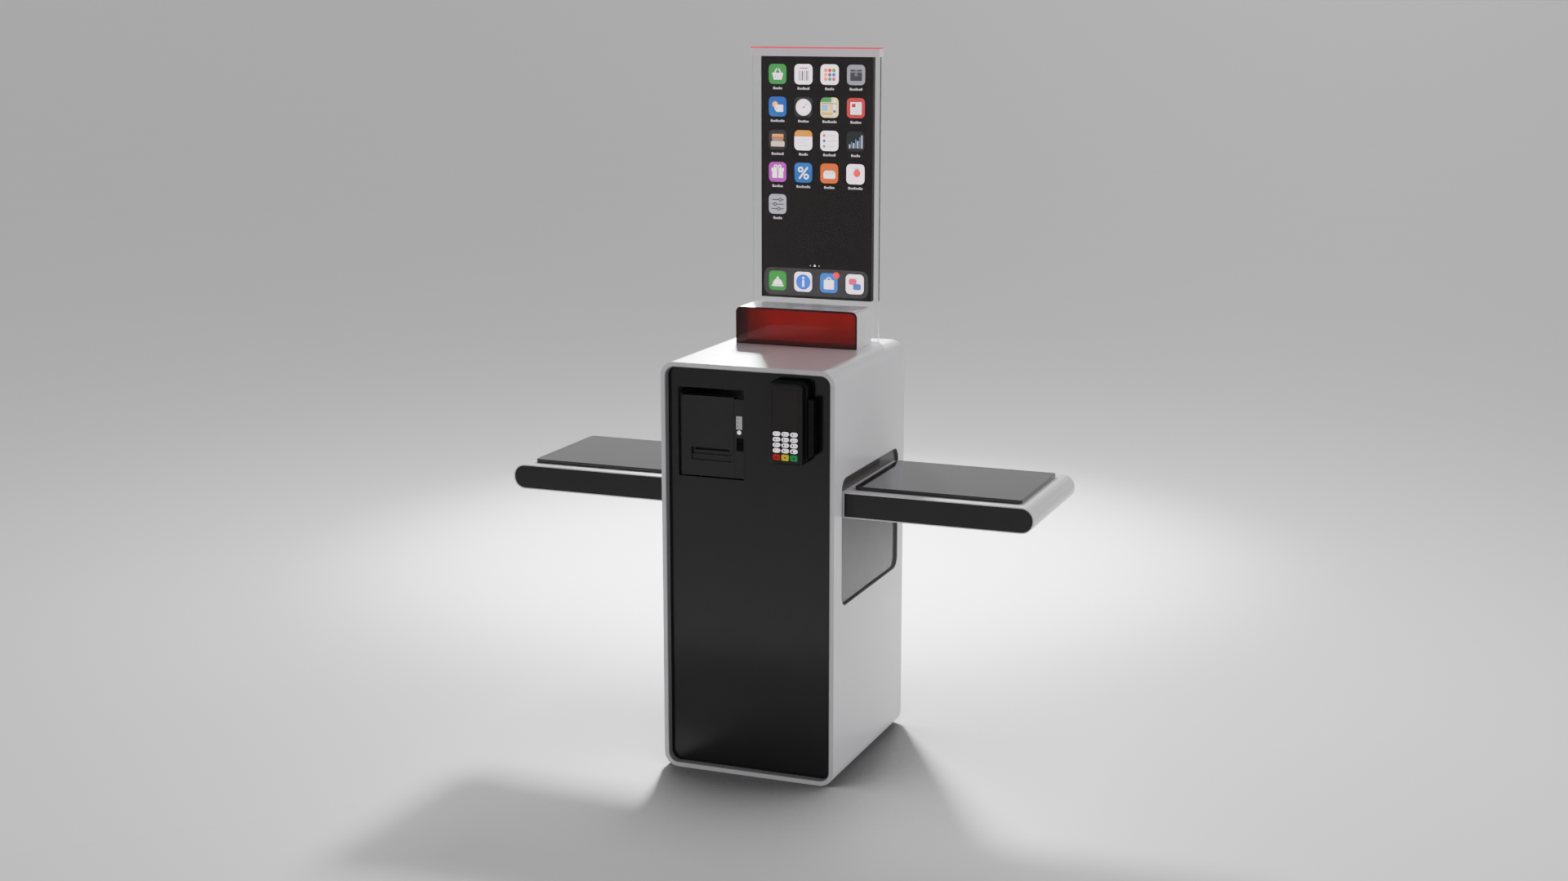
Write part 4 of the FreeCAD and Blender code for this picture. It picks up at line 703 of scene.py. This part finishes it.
def make_interface():
    """The lit home page behind the blade, in columns and rows of shop pictograms."""
    low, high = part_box("display_panel")
    s = Screen(low.x / MM, high.z / MM, low.y / MM)
    width = (high.x - low.x) / MM
    pages = ((basket, bar_code, fruit_crate, parcel), (price_tag, dial, shop_plan, leaflet),
             (bank_cards, till_receipt, shopping_list, sales_bars),
             (gift, offers, bread, tomato), (sliders,))
    captions = ((4.2, 3.0, 3.4, 2.8, 3.6, 3.2, 3.4, 2.8), (3.8, 3.2, 3.0, 3.6, 3.2, 2.8, 3.2, 3.4),
                (4.0, 3.2, 3.6, 2.8, 3.4, 3.2, 3.0, 3.6), (4.4, 3.0, 3.2, 3.6, 2.8, 3.4, 3.2, 3.0))
    for row, (v, pictures) in enumerate(zip(ROWS, pages)):
        for column, (u, picture) in enumerate(zip(COLUMNS, pictures)):
            s.at(u, v)
            picture(s)
            s.caption(captions[(row + column) % 4][:5 + (row * 3 + column * 2) % 4])
    s.at(0, 0)
    for u, tone in ((-11, 120), (0, 225), (11, 120)):
        s.disc(width / 2 - 3 + u, PAGE_DOTS, 2.2, lit(tone, tone, tone), 2, 16)
    s.box(7, DOCK_TOP, width - 8, DOCK_FOOT, lit(60, 57, 59), 0.5, DOCK_RADIUS)
    for u, picture in zip(COLUMNS, (call_bell, information, carrier_bag, speech)):
        s.at(u, DOCK_ICONS)
        picture(s)
    piece = add_mesh("screen_interface", s.bm, screen_pixels(), "kiosk")
    piece.visible_glossy = False


def make_blade():
    """The clear glass blade with polished edges, a hair thinner so the lit page fits behind."""
    low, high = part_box("display_glass")
    outline = rounded(low.x / MM, low.z / MM, high.x / MM, high.z / MM, 0)
    blade = prism_piece("blade", outline, low.y / MM, high.y / MM - BLADE_GAP, blade_glass,
                        "kiosk", edge=0.6)
    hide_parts("display_glass")


def make_scanner_floor():
    """The dark glossy floor of the scanner box, just above the pedestal's top."""
    low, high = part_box("scanner_liner")
    floor = prism_piece("scanner_floor",
                        rounded(low.x / MM + 2, low.z / MM + 0.3, high.x / MM - 2,
                                low.z / MM + 1.2, 0),
                        low.y / MM + 0.4, high.y / MM - 0.4, liner_gloss, "kiosk", edge=0.2)


make_interface()
make_blade()
make_scanner_floor()


# ---- printer and terminal detail ----------------------------------------------------------

# Half width, half height and corner radius of the caps of plain and of function keys.
KEY_CAP_PILL, KEY_CAP_WIDE = (8.3, 4.6, 4.55), (8.6, 6.9, 2.6)
KEY_CAP_DEPTH = 4.6
# The digit or sign on a plain key is larger, and stands left of the middle.
SIGN_SIZE_PLAIN, SIGN_SIZE_WIDE, SIGN_SHIFT_PLAIN = 7.6, 6.5, -2.8
SIGN_WEIGHT, THIN_SIGNS = 0.4, {"6": 0.24, "*": 0.15}
DASH_START, DASH_STEP, DASH_WIDTH, DASH_HEIGHTS = 0.8, 1.9, 1.2, (2.6, 3.0, 2.6)
LABEL_HALF_WIDTH, LABEL_HALF_HEIGHT = 7.2, 15
LAMP_RISES = (9.2, 0.7, -7.8)  # from the label's middle


def text_mesh(name, words, size, place, depth, material, body, weight=SIGN_WEIGHT):
    """Raised characters facing the front, centred on a point in millimetres. Their strokes are
    made bolder by weight on each side."""
    curve = bpy.data.curves.new(name, "FONT")
    curve.body = words
    curve.size = size * MM
    curve.align_x = "CENTER"
    curve.align_y = "CENTER"
    curve.extrude = depth / 2 * MM
    curve.offset = weight * MM
    holder = bpy.data.objects.new(name + "_curve", curve)
    scene.collection.objects.link(holder)
    bpy.context.view_layer.update()
    mesh = bpy.data.meshes.new_from_object(holder.evaluated_get(
        bpy.context.evaluated_depsgraph_get()))
    bpy.data.objects.remove(holder)
    mesh.transform(Matrix.Translation(Vector(place) * MM) @ Matrix.Rotation(math.pi / 2, 4, "X"))
    mesh.materials.clear()
    mesh.materials.append(material)
    piece = bpy.data.objects.new(name, mesh)
    scene.collection.objects.link(piece)
    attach(piece, body)
    return piece


def make_keys():
    """Pill-shaped caps with softly domed faces, and a digit or sign on each."""
    legends = {f"key_{n}": str(n) for n in range(10)}
    legends.update(key_star="*", key_hash="#")
    function_signs = {"key_cancel": "x", "key_clear": "<", "key_enter": "o"}
    finishes = {"key_cancel": key_red_painted_glow, "key_clear": key_yellow_painted_glow, "key_enter": key_green_painted_glow}
    for key in (*legends, *function_signs):
        low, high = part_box(key)
        left, bottom, right, top = (c / MM for c in (low.x, low.z, high.x, high.z))
        finish = finishes.get(key, key_white_painted_glow)
        front = low.y / MM
        middle = ((left + right) / 2, (bottom + top) / 2)
        shape = KEY_CAP_PILL if key in legends else KEY_CAP_WIDE
        half_width, half_height, radius = shape
        outline = rounded(middle[0] - half_width, middle[1] - half_height,
                          middle[0] + half_width, middle[1] + half_height, radius, 10)
        cap = prism_piece(key + "_cap", outline, front, front + KEY_CAP_DEPTH, finish, key,
                          edge=1.3, segments=5)
        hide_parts(key)
        sign = legends.get(key) or function_signs[key]
        shift = SIGN_SHIFT_PLAIN if key in legends else 0.0
        size = SIGN_SIZE_PLAIN if key in legends else SIGN_SIZE_WIDE
        text_mesh(key + "_sign", sign, size, (middle[0] + shift, front - 0.03, middle[1]), 0.16,
                  ink, key, THIN_SIGNS.get(sign, SIGN_WEIGHT))
        if key in legends and key not in ("key_1", "key_star", "key_hash"):
            for index, tall in enumerate(DASH_HEIGHTS):
                start = middle[0] + DASH_START + DASH_STEP * index
                dash = prism_piece(f"{key}_dot_{index}", rounded(
                    start, middle[1] - tall / 2, start + DASH_WIDTH, middle[1] + tall / 2, 0.3, 2),
                    front - 0.05, front + 0.2, faint_ink, key)


def make_printer_label():
    """White control label with three lamps, set into the strip beside the cover."""
    low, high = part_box("feed_button")
    x, face = (low.x + high.x) / 2 / MM, low.y / MM + 1.1
    middle = (low.z + high.z) / 2 / MM + 21.8
    label = prism_piece("control_label",
                        rounded(x - LABEL_HALF_WIDTH, middle - LABEL_HALF_HEIGHT,
                                x + LABEL_HALF_WIDTH, middle + LABEL_HALF_HEIGHT, 0.8),
                        face, face + 0.85, label_white, "kiosk", edge=0.15)
    for index, rise in enumerate(LAMP_RISES):
        z = middle + rise
        lamp = prism_piece(f"lamp_{index}", rounded(x - 4.4, z - 1.1, x - 2.2, z + 1.1, 0.5, 3),
                           face - 0.25, face + 0.1, ink, "kiosk", edge=0.1)


make_keys()
make_printer_label()


# ---- floor, light and camera --------------------------------------------------------------

FLOOR_REACH = 600
FAR_FLOOR = 0.483  # brightness in which the camera sees the sky
# The floor's painted contact shade is darkest where the ambient occlusion is at CONTACT_CLOSED or
# below.
CONTACT_REACH = 0.55
CONTACT_DARKEST, CONTACT_CLOSED, CONTACT_OPEN = 0.10, 0.57, 1.0
BOUNCE_LEAST = 0.55  # least share that light other than the camera's sees
# Brightness at the horizon and high up, and the height from which it stays the same.
SKY_HORIZON, SKY_TOP, SKY_TOP_HEIGHT = 0.74, 0.23, 0.9
BACK_LIGHT, BACK_AIM = (-0.58, 1.38, 1.82), (0, 0, 0.6)
POOL = (-0.62, 1.74)
AZIMUTH, ELEVATION = math.radians(21.486), math.radians(11.602)
CAMERA_PLACE = (1.8088, -4.6084, 1.7543)


def make_floor():
    """A pale studio floor with painted shade that darkens it close to the object. The painted
    shade is kept slight for the light that the floor sends back."""
    mesh = bpy.data.meshes.new("studio_floor")
    r = FLOOR_REACH
    mesh.from_pydata([(-r, -r, 0), (r, -r, 0), (r, r, 0), (-r, r, 0)], [], [(0, 1, 2, 3)])
    floor = bpy.data.objects.new("studio_floor", mesh)
    scene.collection.objects.link(floor)
    s = Shader("studio_floor")
    s.set(Roughness=0.5, Specular_IOR_Level=0.25, Emission_Color=(1, 1, 1, 1),
          Emission_Strength=0.02)
    contact = s.add("ShaderNodeAmbientOcclusion", samples=12)
    contact.inputs["Distance"].default_value = CONTACT_REACH
    seen = s.add("ShaderNodeLightPath").outputs["Is Camera Ray"]
    least = s.spread(seen, BOUNCE_LEAST, 0.0, 0.0, 1.0)
    open_share = s.spread(contact.outputs["AO"], CONTACT_DARKEST, 1.0, CONTACT_CLOSED,
                          CONTACT_OPEN)
    shade = s.maths("MAXIMUM", open_share, least)
    pale = s.mix(s.spread(s.noise(1.2, 3.0), 0, 1), (0.90, 0.90, 0.90), (0.89, 0.89, 0.89))
    s.link(s.mix(shade, (0.0, 0.0, 0.0), pale), s.bsdf.inputs["Base Color"])
    mesh.materials.append(s.material)


def make_sky():
    """An even studio dome, brighter towards the horizon. The camera sees it in the far floor's
    grey, so that no horizon shows."""
    world = bpy.data.worlds.new("studio")
    world.use_nodes = True
    scene.world = world
    tree = world.node_tree
    background = tree.nodes["Background"]
    place = tree.nodes.new("ShaderNodeTexCoord")
    split = tree.nodes.new("ShaderNodeSeparateXYZ")
    ramp = tree.nodes.new("ShaderNodeMapRange")
    ramp.inputs["From Min"].default_value = 0.0
    ramp.inputs["From Max"].default_value = SKY_TOP_HEIGHT
    ramp.inputs["To Min"].default_value = SKY_HORIZON
    ramp.inputs["To Max"].default_value = SKY_TOP
    tree.links.new(place.outputs["Generated"], split.inputs["Vector"])
    tree.links.new(split.outputs["Z"], ramp.inputs["Value"])
    seen = tree.nodes.new("ShaderNodeMix")
    tree.links.new(tree.nodes.new("ShaderNodeLightPath").outputs["Is Camera Ray"],
                   seen.inputs["Factor"])
    tree.links.new(ramp.outputs["Result"], seen.inputs["A"])
    seen.inputs["B"].default_value = FAR_FLOOR
    tree.links.new(seen.outputs["Result"], background.inputs["Strength"])
    background.inputs["Color"].default_value = (1, 1, 1, 1)


def add_light(name, kind, place, aim, power, **settings):
    data = bpy.data.lights.new(name, kind)
    data.energy = power
    for key, value in settings.items():
        setattr(data, key, value)
    light = bpy.data.objects.new(name, data)
    light.location = place
    towards = Vector(aim) - Vector(place)
    light.rotation_euler = towards.to_track_quat("-Z", "Y").to_euler()
    light.visible_camera = False
    scene.collection.objects.link(light)
    return light


def make_camera():
    data = bpy.data.cameras.new("camera")
    data.lens = 50
    data.sensor_width = 36
    data.clip_end = 2000
    data.dof.use_dof = False
    camera = bpy.data.objects.new("camera", data)
    scene.collection.objects.link(camera)
    level = math.cos(ELEVATION)
    back = Vector((math.sin(AZIMUTH) * level, -math.cos(AZIMUTH) * level, math.sin(ELEVATION)))
    camera.location = CAMERA_PLACE
    camera.rotation_euler = back.to_track_quat("Z", "Y").to_euler()
    scene.camera = camera


make_floor()
make_sky()
add_light("back_key", "POINT", BACK_LIGHT, BACK_AIM, power=235, shadow_soft_size=0.13)
add_light("back_wash", "SUN", (-0.12, 1.0, 0.75), (0, 0, 0), power=0.62, angle=math.radians(14))
add_light("floor_pool", "SPOT", (*POOL, 3.4), (*POOL, 0), power=2400,
          spot_size=math.radians(51), spot_blend=1.0, shadow_soft_size=0.3)
gloss = add_light("back_gloss", "POINT", BACK_LIGHT, BACK_AIM, power=2900, shadow_soft_size=0.16)
gloss.visible_diffuse = False
gloss.visible_transmission = False
fill = add_light("side_fill", "AREA", (2.6, 0.5, 2.6), (0.2, 0, 1.0), power=29, size=1.2)
fill.visible_glossy = False
make_camera()
